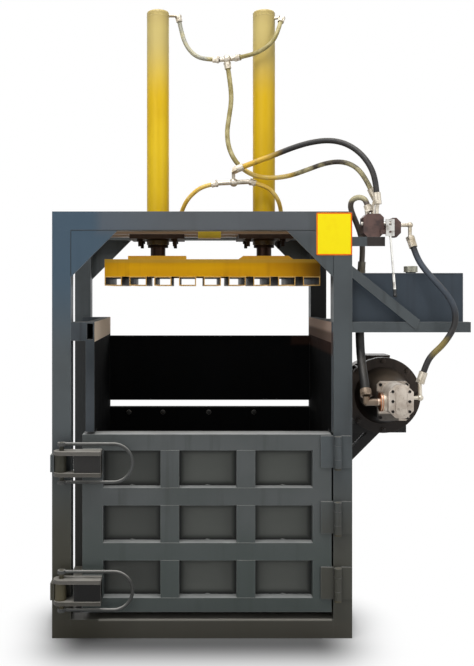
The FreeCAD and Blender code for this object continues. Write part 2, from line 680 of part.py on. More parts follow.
# ---------------------------------------------------------------- the two cylinders
CYLINDERS = (("left", "-cylinder_half"), ("right", "cylinder_half"))
tube_length = "cylinder_top - tube_base"
for name, across in CYLINDERS:
    barrel = turned([("cylinder_bore", "0"), ("cylinder_radius", "0"),
                     ("cylinder_radius", f"{tube_length} - cap_rounding"),
                     ("cylinder_radius - cap_rounding / 3", f"{tube_length} - cap_rounding / 3"),
                     ("cylinder_radius - cap_rounding", tube_length), ("0", tube_length),
                     ("0", f"{tube_length} - cylinder_cap"),
                     ("cylinder_bore", f"{tube_length} - cylinder_cap")],
                    (across, "0", "tube_base"))
    node(barrel, f"cylinder_barrel_{name}")

flange_depth = "beam_gap + 2 * member"
flanges = []
for _, across in CYLINDERS:
    plate = block((f"{across} - flange_width / 2", f"-({flange_depth}) / 2", "beam_base - flange_plate"),
                  "flange_width", flange_depth, "flange_plate")
    holes = [bar((f"{across} + {side} * bolt_side", f"{back} * (beam_gap + member) / 2",
                  "beam_base - 2 * flange_plate"), "bolt_radius + pin_clearance", "3 * flange_plate")
             for side in (-1, 1) for back in (-1, 1)]
    seat = bar((across, "0", "beam_base - 2 * flange_plate"), "cylinder_radius", "3 * flange_plate")
    flanges.append(without(plate, holes + [seat]))
node(group(flanges), "cylinder_flanges")

node(group([turned([("rod_radius + pin_clearance", "0"), ("gland_radius", "0"),
                    ("gland_radius", "gland_head"),
                    ("cylinder_bore", "gland_head"), ("cylinder_bore", "gland_head + gland_length"),
                    ("rod_radius + pin_clearance", "gland_head + gland_length")],
                   (across, "0", "tube_base - gland_head")) for _, across in CYLINDERS]), "rod_glands")

bolts = []
for across, back in bolt_places():
    shank = bar((across, back, "beam_base - flange_plate - bolt_hang"), "bolt_radius",
                "bolt_hang + flange_plate + member + 2 * nut_height")
    nuts = [hex_bar((across, back, level), "nut_radius", "nut_height")
            for level in ("beam_base - flange_plate - nut_height", "frame_height")]
    bolts.append(joined([shank] + nuts))
node(group(bolts), "flange_bolts")

node(group([bar((across, "0", "rod_base"), "rod_radius", "piston_top - piston_length - rod_base")
            for _, across in CYLINDERS]), "piston_rods")
node(group([bar((across, "0", "piston_top - piston_length"), "cylinder_bore - pin_clearance",
                "piston_length") for _, across in CYLINDERS]), "pistons")


# ---------------------------------------------------------------- the platen
def channel(at, axis, length, web_first):
    """A rolled channel along X or Y, its web on the low side or on the high side."""
    web, lip = ("0", "beam_flange") if web_first else ("beam_flange", "0")
    inner = "channel_wall" if web_first else "beam_flange - channel_wall"
    outline = [(web, "0"), (lip, "0"), (lip, "channel_wall"), (inner, "channel_wall"),
               (inner, "platen_beam - channel_wall"), (lip, "platen_beam - channel_wall"),
               (lip, "platen_beam"), (web, "platen_beam")]
    return padded(outline, length, at, "YZ_Plane" if axis == "x" else "XZ_Plane")


beam_level = "platen_base + tube_height"
platen_rear = "platen_front + platen_depth"
platen_parts = [
    channel(("-platen_width / 2", "platen_front", beam_level), "x", "platen_width", True),
    channel(("-platen_width / 2", f"{platen_rear} - beam_flange", beam_level), "x", "platen_width", False),
    channel(("-platen_width / 2", "platen_front", beam_level), "y", "platen_depth", True),
    channel(("platen_width / 2 - beam_flange", "platen_front", beam_level), "y", "platen_depth", False),
    block(("-platen_width / 2", "platen_front", "platen_top - channel_wall"), "platen_width", "platen_depth",
          "channel_wall"),
    block(("-cylinder_half - pad_width / 2", "-pad_depth / 2", "platen_top"), "pad_width", "pad_depth",
          "pad_plate"),
    padded([("0", "0"), ("pad_width", "0"), ("pad_width - pad_bevel", "pad_plate"),
            ("pad_bevel", "pad_plate")],
           "pad_depth", ("cylinder_half - pad_width / 2", "-pad_depth / 2", "platen_top")),
]
for _, across in CYLINDERS:
    for side in (-1, 1):
        web_at = f"{across} + {side} * rod_radius - channel_wall / 2"
        platen_parts.append(block((web_at, "platen_front + channel_wall / 2", beam_level), "channel_wall",
                                  "platen_depth - channel_wall", "platen_beam - channel_wall / 2"))
node(joined(platen_parts), "platen_frame")
node(group([square_tube((f"-platen_width / 2 + {count} * (tube_width + tube_gap)", "platen_front",
                         "platen_base"),
                        "y", "platen_depth", "tube_width", "tube_height", "tube_wall")
            for count in range(int(size("tube_count")))]), "platen_tubes")

# ---------------------------------------------------------------- the oil tank
filler_at = ("tank_left + filler_side", "tank_front + filler_back")
tank_shell = without(block(("tank_left", "tank_front", "tank_base"), "tank_width", "tank_depth",
                           "tank_height"),
                     [block(("tank_left + tank_wall", "tank_front + tank_wall", "tank_base + tank_wall"),
                            "tank_width - 2 * tank_wall", "tank_depth - 2 * tank_wall",
                            "tank_height - 2 * tank_wall")])
neck = bar((*filler_at, "tank_top - tank_wall"), "filler_neck", "neck_height + tank_wall")
neck_bore = bar((*filler_at, "tank_top - 2 * tank_wall"), "filler_neck - tank_wall",
                "neck_height + 4 * tank_wall")
node(without(joined([tank_shell, neck]), [neck_bore]), "oil_tank")
cap_skirt = turned([("filler_neck + pin_clearance", "0"), ("filler_radius", "0"),
                    ("filler_radius", "filler_height - tank_wall"),
                    ("filler_radius - tank_wall", "filler_height"),
                    ("0", "filler_height"), ("0", "neck_height"), ("filler_neck + pin_clearance",
                                                                   "neck_height")],
                   (*filler_at, "tank_top"))
node(cap_skirt, "filler_cap")

ANGLE = [("0", "0"), ("angle_wall", "0"), ("angle_wall", "angle_leg - angle_wall"),
         ("angle_leg", "angle_leg - angle_wall"), ("angle_leg", "angle_leg"), ("0", "angle_leg")]
ANGLE_BACK = [("angle_leg", "0"), ("angle_leg", "angle_leg"), ("0", "angle_leg"),
              ("0", "angle_leg - angle_wall"), ("angle_leg - angle_wall", "angle_leg - angle_wall"),
              ("angle_leg - angle_wall", "0")]
front_rail = padded(ANGLE, "cradle_reach", ("frame_right", "front + angle_wall", "tank_base - angle_leg"),
                    "YZ_Plane")
rear_rail = padded(ANGLE_BACK, "cradle_reach + frame_right - wall_outer",
                   ("wall_outer", "tank_front + tank_depth - angle_leg / 2", "tank_base - angle_leg"),
                   "YZ_Plane")
brace = padded([("0", "0"), ("brace_end - brace_width / 3", "brace_foot - brace_top + brace_width / 5"),
                ("brace_end", "brace_foot - brace_top + brace_width"), ("0", "brace_width")], "angle_wall",
               ("frame_right", "front", "brace_top - brace_width"))
node(group([front_rail, rear_rail, brace]), "tank_cradle")

# ---------------------------------------------------------------- the hand valve
bracket = [("0", "0"), ("angle_wall", "0"), ("angle_wall", "bracket_height - angle_wall"),
           ("bracket_depth", "bracket_height - angle_wall"), ("bracket_depth", "bracket_height"),
           ("0", "bracket_height")]
node(padded(bracket, "bracket_length", ("frame_right", "valve_front", "bracket_base"), "YZ_Plane"),
     "valve_bracket")


def cut_corners(width, height, corner):
    """A rectangle with its four corners cut off, as an outline."""
    return [(corner, "0"), (f"{width} - {corner}", "0"), (width, corner), (width, f"{height} - {corner}"),
            (f"{width} - {corner}", height), (corner, height), ("0", f"{height} - {corner}"), ("0", corner)]


relief_left = "valve_left + valve_width + relief_gap"
relief_front = "spool_y + 2 * spool_radius"
relief_depth = "valve_front + valve_depth - spool_y - 2 * spool_radius"
pivot_radius = "spool_radius / 2"
valve_parts = [
    padded(cut_corners("valve_width", "valve_height", "valve_corner"), "valve_depth",
           ("valve_left", "valve_front", "valve_base")),
    block(("valve_left + valve_width - valve_corner", relief_front, "valve_base + valve_corner"),
          "relief_gap + 2 * valve_corner", relief_depth, "relief_height - 2 * valve_corner"),
    padded(cut_corners("relief_width", "relief_height", "1.2 * valve_corner"), relief_depth,
           (relief_left, relief_front, "valve_base")),
    block(("valve_left + valve_width - valve_corner", "lever_y + knob_radius / 2 + knuckle_gap",
           "pivot_z - spool_radius"),
          "lever_x - valve_left - valve_width + valve_corner + spool_radius",
          "valve_front - lever_y", "2 * spool_radius"),
    bar(("lever_x", "lever_y - knob_radius", "pivot_z"), pivot_radius, "2 * knob_radius", "y"),
]
spool_bore = bar(("valve_left - 1", "spool_y", "spool_z"), "spool_radius + pin_clearance",
                 "valve_width + 2", "x")
node(without(joined(valve_parts), [spool_bore]), "valve_body")

spool_end = "lever_x - valve_left + spool_radius"
node(joined([bar(("valve_left - spool_radius", "spool_y", "spool_z"), "spool_radius",
                 f"{spool_end} + spool_radius", "x"),
             bar(("lever_x", "lever_y - knob_radius / 2", "spool_z"), pivot_radius,
                 "spool_y - lever_y + knob_radius / 2", "y")]), "valve_spool")

slot_side = "(spool_radius / 2 + slot_clearance)"
lever_plate = without(
    block(("lever_x - 2 * spool_radius", "lever_y - knob_radius / 2", "pivot_z - 2 * spool_radius"),
          "4 * spool_radius", "knob_radius", "lever_arm + 4 * spool_radius"),
    [bar(("lever_x", "lever_y - knob_radius", "pivot_z"), f"{pivot_radius} + pin_clearance",
         "2 * knob_radius", "y"),
     block((f"lever_x - {slot_side}", "lever_y - knob_radius", "spool_z - spool_radius"),
           f"2 * {slot_side}", "2 * knob_radius", "2 * spool_radius")])


def lever_part(start, radius, length):
    """A round part of the lever, leaning from its pivot down to the knob."""
    lean = math.radians(size("lever_lean"))
    item = doc.addObject("Part::Cylinder", "Lever")
    bind(item, Radius=radius, Height=length)
    at = (f"lever_x + ({start}) * {math.sin(lean):.6f}", "lever_y",
          f"pivot_z - ({start}) * {math.cos(lean):.6f}")
    return put(item, at, Rotation(Vector(0, 1, 0), 180 - size("lever_lean")))


knob = doc.addObject("Part::Sphere", "Knob")
bind(knob, Radius="knob_radius")
lean = math.radians(size("lever_lean"))
put(knob, (f"lever_x + lever_length * {math.sin(lean):.6f}", "lever_y",
           f"pivot_z - lever_length * {math.cos(lean):.6f}"))
node(joined([lever_plate, lever_part("1.5 * spool_radius", "lever_radius", "lever_length - 2 * knob_radius"),
             lever_part("2 * lever_length / 3", "grip_radius", "lever_length / 3 - knob_radius / 2"), knob]),
     "valve_lever")

# ---------------------------------------------------------------- the motor and its fan
fins = []
for count in range(int(size("fin_count"))):
    angle = 360 / size("fin_count") * (count + 0.5)
    cosine, sine = math.cos(math.radians(angle)), math.sin(math.radians(angle))
    if sine < -0.8:
        continue
    fin = doc.addObject("Part::Box", "Fin")
    bind(fin, Length="fin_height + fin_width", Width="motor_length - 3 * motor_flange_plate",
         Height="fin_width")
    root = "(motor_radius - fin_width)"
    put(fin, (f"motor_x + {cosine:.6f} * {root} + {sine:.6f} * fin_width / 2",
              "motor_y + 1.5 * motor_flange_plate",
              f"motor_height + {sine:.6f} * {root} - {cosine:.6f} * fin_width / 2"),
        Rotation(Vector(0, 1, 0), -angle))
    fins.append(fin)
bearing = "shaft_radius + pin_clearance"
motor_shell = turned([(bearing, "0"), ("motor_flange", "0"), ("motor_flange", "motor_flange_plate"),
                      ("motor_radius", "motor_flange_plate"), ("motor_radius", "motor_length"),
                      (bearing, "motor_length"), (bearing, "motor_length - motor_flange_plate"),
                      ("motor_bore", "motor_length - motor_flange_plate"),
                      ("motor_bore", "2 * motor_flange_plate"), (bearing, "2 * motor_flange_plate")],
                     ("motor_x", "motor_y", "motor_height"), "y")
feet = [block((f"motor_x + {side} * motor_radius * 0.62 - shaft_radius", "motor_y + 4 * motor_flange_plate",
               "shelf_top"), "2 * shaft_radius", "motor_length / 2", "shaft_height - motor_radius * 0.74")
        for side in (-1, 1)]
terminal_box = block(("motor_x - motor_radius / 2", "motor_y + motor_length / 3",
                      "motor_height + motor_radius - fin_width"), "motor_radius", "motor_radius",
                     "motor_radius / 2")
cable_gland = hex_bar(("motor_x - motor_radius / 2 - shaft_radius",
                       "motor_y + motor_length / 3 + motor_radius / 2",
                       "motor_height + motor_radius * 1.2"), "shaft_radius", "shaft_radius", "x")
node(joined([motor_shell, terminal_box, cable_gland] + feet + fins), "motor_body")

cover_radius = "motor_radius + fin_height + tube_seat + fan_cover_wall"
cover = turned([(f"{cover_radius} - fan_cover_wall", "0"), (cover_radius, "0"),
                (cover_radius, "fan_cover_length - 3 * fan_cover_wall"),
                (f"{cover_radius} - 3 * fan_cover_wall", "fan_cover_length"), ("0", "fan_cover_length"),
                ("0", "fan_cover_length - fan_cover_wall"),
                (f"{cover_radius} - 4 * fan_cover_wall", "fan_cover_length - fan_cover_wall"),
                (f"{cover_radius} - fan_cover_wall", "fan_cover_length - 4 * fan_cover_wall")],
               ("motor_x", "motor_y + motor_length - 2 * motor_flange_plate", "motor_height"), "y")
vents = [block(("motor_x - fan_radius * 0.8", "motor_y + motor_length",
                f"motor_height + ({count} - 3) * fan_radius / 4 - fin_width"),
               "fan_radius * 1.6", "fan_cover_length", "2 * fin_width") for count in range(7) if count != 3]
node(without(cover, vents), "fan_cover")

fan_back = "motor_y + motor_length + fan_cover_length / 4"
rotor_parts = [
    bar(("motor_x", "motor_y - bell_length / 2", "motor_height"), "shaft_radius",
        "bell_length / 2 + motor_length + fan_cover_length / 2", "y"),
    bar(("motor_x", "motor_y + 2.5 * motor_flange_plate", "motor_height"), "motor_bore - 2 * knuckle_gap",
        "motor_length - 4 * motor_flange_plate", "y"),
    bar(("motor_x", "motor_y - bell_length * 0.7", "motor_height"), "coupling_radius", "bell_length * 0.45",
        "y"),
    bar(("motor_x", fan_back, "motor_height"), "2 * shaft_radius", "fan_cover_length / 4", "y"),
]
for count in range(8):
    blade = doc.addObject("Part::Box", "Blade")
    bind(blade, Length="fan_radius - shaft_radius", Width="fan_cover_length / 4", Height="fan_cover_wall")
    angle = 45 * count
    put(blade, (f"motor_x + {math.cos(math.radians(angle)):.6f} * shaft_radius", fan_back,
                f"motor_height + {math.sin(math.radians(angle)):.6f} * shaft_radius"),
        Rotation(Vector(0, 1, 0), -angle))
    rotor_parts.append(blade)
node(joined(rotor_parts), "motor_rotor")

bell = turned([("coupling_radius / 2", "0"), ("bell_nose", "0"), ("bell_nose", "bell_wall"),
               ("bell_root", "bell_length - motor_flange_plate"),
               ("motor_flange", "bell_length - motor_flange_plate"), ("motor_flange", "bell_length"),
               ("bell_root - bell_wall", "bell_length"), ("bell_nose - bell_wall", "bell_wall"),
               ("coupling_radius / 2", "bell_wall")], ("motor_x", "bell_front", "motor_height"), "y")
window = bar(("motor_x - motor_flange", "bell_front + bell_length / 2", "motor_height"),
             "coupling_radius * 0.9",
             "2 * motor_flange", "x")
node(without(bell, [window]), "bell_housing")


# ---------------------------------------------------------------- the gear pump
def stadium(front, depth, radius):
    """A round-ended block about both gear axes."""
    ends = [bar(("motor_x", front, f"motor_height + {level}"), radius, depth, "y")
            for level in ("0", "gear_centres")]
    return ends + [block((f"motor_x - {radius}", front, "motor_height"), f"2 * ({radius})", depth,
                         "gear_centres")]


pump_parts = stadium("pump_front", "pump_length", "pump_width / 2")
pump_parts.append(padded(cut_corners("pump_plate_width", "pump_plate_height", "pump_plate"), "pump_plate",
                         ("motor_x - pump_plate_width / 2", "pump_back",
                          "motor_height - pump_plate_height / 2")))
pockets = [bar(("motor_x", "pump_front", f"motor_height + {level}"), "gear_tip + pin_clearance * 4",
               "gear_length + knuckle_gap", "y") for level in ("0", "gear_centres")]
port_at = ("pump_front + gear_length", "motor_height + port_level")
pump_parts.append(bar(("motor_x - pump_width / 2 - knuckle_gap", *port_at), "port_boss", "pump_width / 2",
                      "x"))
shaft_bore = bar(("motor_x", "pump_front", "motor_height"), "journal_radius + pin_clearance",
                 "2 * pump_length", "y")
idler_bore = bar(("motor_x", "pump_front", "motor_height + gear_centres"), "journal_radius + pin_clearance",
                 "pump_length * 0.7", "y")
node(without(joined(pump_parts), pockets + [shaft_bore, idler_bore]), "pump_body")

cover_parts = stadium("pump_front - pump_cover", "pump_cover", "pump_width / 2")
cover_parts.append(block(("motor_x - pump_width * 0.22", "pump_front - pump_cover - cover_boss",
                          "motor_height - pump_width * 0.38"), "pump_width * 0.44",
                         "cover_boss + knuckle_gap",
                         "gear_centres + pump_width * 0.76"))
cover_bores = [bar(("motor_x", "pump_front - pump_cover * 0.7", f"motor_height + {level}"),
                   "journal_radius + pin_clearance", "pump_cover", "y") for level in ("0", "gear_centres")]
node(without(joined(cover_parts), cover_bores), "pump_cover")


def pump_gear(level, tooth_turn, shaft_length):
    """A gear of the pump: a root cylinder, tapering teeth round it and a plain shaft."""
    parts = [bar(("motor_x", "pump_front + knuckle_gap / 2", level), "gear_root", "gear_length", "y")]
    tooth_root, tooth_tip = "gear_root * 0.25", "gear_root * 0.1"
    for count in range(int(size("gear_teeth"))):
        angle = 360 / size("gear_teeth") * count + tooth_turn
        cosine, sine = math.cos(math.radians(angle)), math.sin(math.radians(angle))
        tooth = padded([("0", "0"), (f"2 * {tooth_root}", "0"), (f"{tooth_root} + {tooth_tip}",
                                                                 "gear_tip * 0.5"),
                        (f"{tooth_root} - {tooth_tip}", "gear_tip * 0.5")], "gear_length",
                       (f"motor_x - {cosine:.6f} * {tooth_root} + {sine:.6f} * gear_tip / 2",
                        "pump_front + knuckle_gap / 2",
                        f"{level} + {sine:.6f} * {tooth_root} + {cosine:.6f} * gear_tip / 2"),
                       turn=Rotation(Vector(0, 1, 0), angle))
        parts.append(tooth)
    parts.append(bar(("motor_x", "pump_front - pump_cover * 0.6", level), "journal_radius", shaft_length,
                     "y"))
    return joined(parts)


node(pump_gear("motor_height", 0, "motor_y - bell_length * 0.7 - pump_front + pump_cover * 0.6"),
     "drive_gear")
node(pump_gear("motor_height + gear_centres", 180 / size("gear_teeth"),
               "pump_cover * 0.6 + pump_length * 0.6"),
     "idler_gear")

# ---------------------------------------------------------------- the motor shelf and the sign
strut_outline = [("0", "0"), ("strut_run", "strut_run"), ("strut_run - strut_width", "strut_run"),
                 ("0", "strut_width")]
shelf_parts = [block(("wall_outer", "shelf_y", "shelf_top - shelf_plate"),
                     "frame_right + shelf_right - wall_outer",
                     "shelf_depth", "shelf_plate")]
for edge_at in ("shelf_y", "shelf_y + shelf_depth - wall_plate"):
    shelf_parts.append(block(("wall_outer", edge_at, "shelf_top - shelf_edge"),
                             "frame_right + shelf_right - wall_outer", "wall_plate", "shelf_edge"))
for count in (1, 2):
    strut_y = f"wall_front + {count} * rib_pitch"
    shelf_parts.append(padded(strut_outline, "rib_width",
                              ("wall_outer", strut_y, "shelf_top - shelf_plate - strut_run")))
node(joined(shelf_parts), "motor_bracket")
node(block(("frame_right - knuckle_gap - sign_width", "front - sign_plate",
            "frame_height - sign_drop - sign_height"),
           "sign_width", "sign_plate", "sign_height"), "sign_plate")

# ---------------------------------------------------------------- the hoses
# Each hose follows points chosen by eye: straight runs joined by tangent arcs. The points are given for the
# portal corner below and rise with it. The numbers say which ends also follow the corner to the side and front.
DRAWN_CORNER = Vector(594, -400, 1820)
HOSES = {
    "hose_cap_left": ("branch_hose", (0, 0), [
        (-149, 0, 2751), (-135, -2, 2684), (-115, -8, 2633), (-81, -18, 2590), (-38, -30, 2568),
         (8, -40, 2563)]),
    "hose_cap_right": ("branch_hose", (0, 0), [
        (137, -40, 2574), (180, -62, 2578), (225, -82, 2589), (268, -88, 2617), (303, -75, 2663),
        (324, -47, 2735)]),
    "hose_cap_feed": ("cap_hose", (0, 1), [
        (79, -40, 2519), (90, -44, 2448), (95, -52, 2367), (82, -62, 2285), (72, -72, 2214), (80, -82, 2143),
        (109, -92, 2079), (157, -102, 2031), (218, -110, 2003), (291, -118, 1998), (363, -130, 2008),
        (438, -150, 2033), (509, -190, 2056), (573, -240, 2058), (625, -288, 2031), (663, -316, 1980),
        (687, -326, 1925)]),
    "hose_rod_left": ("branch_hose", (0, 0), [
        (0, -96, 1971), (-34, -93, 1964), (-69, -84, 1945), (-104, -67, 1914), (-130, -44, 1874),
        (-145, -20, 1832)]),
    "hose_rod_right": ("branch_hose", (0, 0), [
        (205, -100, 1976), (251, -104, 1962), (288, -98, 1932), (315, -74, 1893), (328, -40, 1845),
        (331, -14, 1805)]),
    "hose_rod_feed": ("feed_hose", (1, 0), [
        (703, -376, 1902), (699, -370, 1963), (677, -350, 2030), (638, -318, 2089), (584, -280, 2132),
        (520, -240, 2152), (444, -206, 2148), (366, -182, 2128), (287, -164, 2098), (206, -150, 2070),
        (145, -138, 2048)]),
    "hose_return": ("return_hose", (1, 1), [
        (656, -292, 1609), (659, -292, 1652), (657, -292, 1700), (643, -293, 1751), (624, -297, 1795),
        (609, -303, 1828), (602, -311, 1853), (606, -321, 1874), (623, -332, 1886), (645, -343, 1886),
        (662, -352, 1872), (667, -357, 1850)]),
    "hose_pressure": ("press_hose", (1, 1), [
        (862, -372, 1668), (873, -388, 1622), (901, -412, 1570), (937, -436, 1523), (974, -452, 1477),
        (1003, -457, 1433), (1019, -457, 1382), (1013, -457, 1330), (985, -457, 1282), (957, -453, 1246),
        (925, -450, 1217), (900, -450, 1184), (885, -450, 1140)]),
    "hose_suction": ("suction_hose", (1, 1), [
        (641, -320, 1313), (641, -327, 1260), (640, -350, 1203), (640, -385, 1151), (641, -420, 1108),
        (642, -444, 1066)]),
}
LONG_ENDS = [("hose_rod_feed", 0), ("hose_rod_feed", -1), ("hose_return", 0), ("hose_pressure", 0),
             ("hose_pressure", -1), ("hose_cap_feed", -1)]


def followed(points, ends):
    """The points of a hose, moved with the top right corner of the front portal by each end's share."""
    moved = Vector(number("frame_right"), number("front"), size("frame_height")) - DRAWN_CORNER
    start, end = ends
    route = []
    for step, point in enumerate(points):
        share = start + (end - start) * step / (len(points) - 1)
        route.append(Vector(*point) + Vector(moved.x * share, moved.y * share, moved.z))
    return route


ROUTES = {label: followed(points, ends) for label, (_, ends, points) in HOSES.items()}


def hose_path(route):
    """Straight runs joined by the largest tangent arcs that they allow, and the least radius among them."""
    edges, radii, last = [], [], route[0]
    for before, corner, after in zip(route, route[1:], route[2:]):
        arriving = (corner - before).normalize()
        leaving = (after - corner).normalize()
        half_turn = arriving.getAngle(leaving) / 2
        reach = 0.45 * min((corner - before).Length, (after - corner).Length)
        radius = reach / math.tan(half_turn)
        inward = (leaving - arriving).normalize()
        middle = corner + inward * (radius / math.cos(half_turn) - radius)
        first = corner - arriving * reach
        final = corner + leaving * reach
        edges.append(Part.LineSegment(last, first).toShape())
        edges.append(Part.Arc(first, middle, final).toShape())
        radii.append(radius)
        last = final
    edges.append(Part.LineSegment(last, route[-1]).toShape())
    return Part.Wire(edges), min(radii)


def hose(label):
    """The tube of a hose, with its length, least radius and volume printed."""
    radius = size(HOSES[label][0])
    route = ROUTES[label]
    path, least = hose_path(route)
    section = Part.Wire(Part.makeCircle(radius, route[0], route[1] - route[0]))
    tube = doc.addObject("Part::Feature", "Hose")
    tube.Shape = path.makePipeShell([section], True, False)
    share = tube.Shape.Volume / (math.pi * radius ** 2 * path.Length)
    print(f"{label}: length {path.Length:.0f}, least radius {least:.0f} ({least / radius / 2:.1f} diameters), "
          f"volume {share:.4f} of section times length")
    return node(tube, label)


def pipe_between(start, end, radius, kind="Part::Cylinder"):
    """A round or six-sided piece between two points."""
    item = doc.addObject(kind, "Pipe")
    bind(item, **{"Radius" if kind == "Part::Cylinder" else "Circumradius": radius})
    item.Height = (end - start).Length
    item.Placement = Placement(start, Rotation(Vector(0, 0, 1), end - start))
    return item


def elbow(centre, radius):
    """The round corner of a pipe."""
    item = doc.addObject("Part::Sphere", "Elbow")
    bind(item, Radius=radius)
    item.Placement = Placement(centre, Rotation())
    return item


def pipe(points, radius="port_radius"):
    """A bent pipe: round bars between the points and a round corner at each inner point."""
    pieces = [pipe_between(start, end, radius) for start, end in zip(points, points[1:])]
    return pieces + [elbow(corner, radius) for corner in points[1:-1]]


def spot(*texts):
    """A point from three formulas."""
    return Vector(*[number(text) for text in texts])


def hose_end(label, index):
    """The collar and nut beyond one end of a hose, and the point where the nut ends."""
    radius = HOSES[label][0]
    length = "long" if (label, index) in LONG_ENDS else "short"
    end = ROUTES[label][index]
    inner = ROUTES[label][1 if index == 0 else -2]
    outward = (end - inner).normalize()
    collar_end = end + outward * size(f"ferrule_{length}")
    nut_end = collar_end + outward * size(f"nut_{length}")
    pieces = [pipe_between(end, collar_end, f"{radius} + ferrule_wall"),
              pipe_between(collar_end, nut_end, f"{radius} + 1.6 * ferrule_wall", "Part::Prism")]
    return pieces, nut_end


def port_beside(axis_x, ball):
    """Where a pipe from a point meets a cylinder tube beside it, level with the point."""
    axis = Vector(number(axis_x), 0, ball.z)
    return axis + (ball - axis).normalize() * number("cylinder_radius + tube_seat")


fittings = []
for label, index, axis_x in (("hose_cap_left", 0, "-cylinder_half"), ("hose_cap_right", -1, "cylinder_half"),
                             ("hose_rod_left", -1, "-cylinder_half"),
                             ("hose_rod_right", -1, "cylinder_half")):
    pieces, ball = hose_end(label, index)
    fittings.append(joined(pieces + [elbow(ball, "branch_hose")] + pipe([ball, port_beside(axis_x, ball)])))

valve_top = "valve_base + valve_height"
for label, index, across, back in (
        ("hose_rod_feed", 0, "valve_left + valve_width * 0.7", "valve_front + valve_depth / 4"),
        ("hose_cap_feed", -1, "valve_left + valve_width * 0.6", "valve_front + valve_depth * 0.82"),
        ("hose_return", -1, "valve_left + valve_width / 4", "valve_front + valve_depth / 2")):
    pieces, nut_end = hose_end(label, index)
    port = spot(across, back, valve_top)
    above = port + Vector(0, 0, max((nut_end.z - port.z) / 2, number("port_radius + tube_seat")))
    fittings.append(joined(pieces + pipe([nut_end, above, port])))

pieces, nut_end = hose_end("hose_return", 0)
fittings.append(joined(pieces + pipe([nut_end, Vector(nut_end.x, nut_end.y, number("tank_top"))])))

pieces, nut_end = hose_end("hose_pressure", 0)
relief_port = spot(f"{relief_left} + relief_width", f"{relief_front} + port_radius",
                   "valve_base + relief_height * 0.63")
ball = Vector(nut_end.x, relief_port.y, relief_port.z)
fittings.append(joined(pieces + [elbow(ball, "press_hose")] + pipe([nut_end, ball, relief_port])))

pieces, nut_end = hose_end("hose_pressure", -1)
pump_port = spot("motor_x + pump_width / 2", port_at[0], "motor_height + gear_centres * 0.7")
ball = Vector(nut_end.x, pump_port.y, pump_port.z)
fittings.append(joined(pieces + [elbow(ball, "press_hose")] + pipe([nut_end, ball, pump_port])))

pieces, nut_end = hose_end("hose_suction", 0)
fittings.append(joined(pieces + pipe([nut_end, Vector(nut_end.x, nut_end.y, number("tank_base"))],
                                     "suction_pipe")))
pieces, nut_end = hose_end("hose_suction", -1)
flange_at = spot("motor_x - pump_width / 2 - knuckle_gap", *port_at)
flange_end = flange_at - Vector(size("port_flange"), 0, 0)
ball = Vector(nut_end.x, flange_at.y, flange_at.z)
fittings.append(joined(pieces + pipe([nut_end, ball, flange_end], "suction_pipe")
                       + [pipe_between(flange_end, flange_at, "port_boss")]))
node(group(fittings), "hose_fittings")


def tee(left, right):
    """A tee between the nuts of two hose ends that face each other, and its middle."""
    (left_pieces, left_end), (right_pieces, right_end) = hose_end(*left), hose_end(*right)
    middle = (left_end + right_end) * 0.5
    legs = [pipe_between(middle, end, "cap_hose") for end in (left_end, right_end)]
    return left_pieces + right_pieces + legs + [elbow(middle, "tee_radius")], middle


pieces, middle = tee(("hose_cap_left", -1), ("hose_cap_right", 0))
collars, nut_end = hose_end("hose_cap_feed", 0)
node(joined(pieces + collars + [pipe_between(nut_end, middle, "cap_hose")]), "cap_side_tee")
pieces, middle = tee(("hose_rod_left", 0), ("hose_rod_right", 0))
collars, nut_end = hose_end("hose_rod_feed", -1)
bend = Vector((nut_end.x + middle.x) / 2, middle.y - size("tee_radius") / 2, nut_end.z - size("port_radius"))
node(joined(pieces + collars + pipe([nut_end, bend, middle])), "rod_side_tee")
for label in HOSES:
    hose(label)

# ---------------------------------------------------------------- check and export
doc.recompute()
faults = [f"{item.Label}: {item.State}" for item in doc.Objects if {"Invalid", "Error"} & set(item.State)]
faults += [f"{item.Label}: bad shape" for item in NODES if item.Shape.isNull() or not item.Shape.isValid()]
labels = [item.Label for item in NODES]
faults += [f"{label}: used twice" for label in set(labels) if labels.count(label) > 1]
if faults:
    raise RuntimeError("\n".join(faults))

os.makedirs("parts", exist_ok=True)
for item in NODES:
    item.Shape.exportStep(f"parts/{item.Label}.step")
print(f"{len(NODES)} sub-parts written")
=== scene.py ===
"""Looks of a vertical recycling baler with two hydraulic cylinders.

Every sub-assembly is a class: its sizes are dataclass fields in metres, and its methods model the pieces and
dress them. The finishes are small frozen dataclasses that build procedural materials. X runs to the right of
somebody facing the door, Y runs to the back and Z is up.
"""
from __future__ import annotations

import logging
import math
from collections.abc import Callable, Iterable, Sequence
from dataclasses import dataclass
from enum import Enum

import bpy
from mathutils import Matrix, Vector

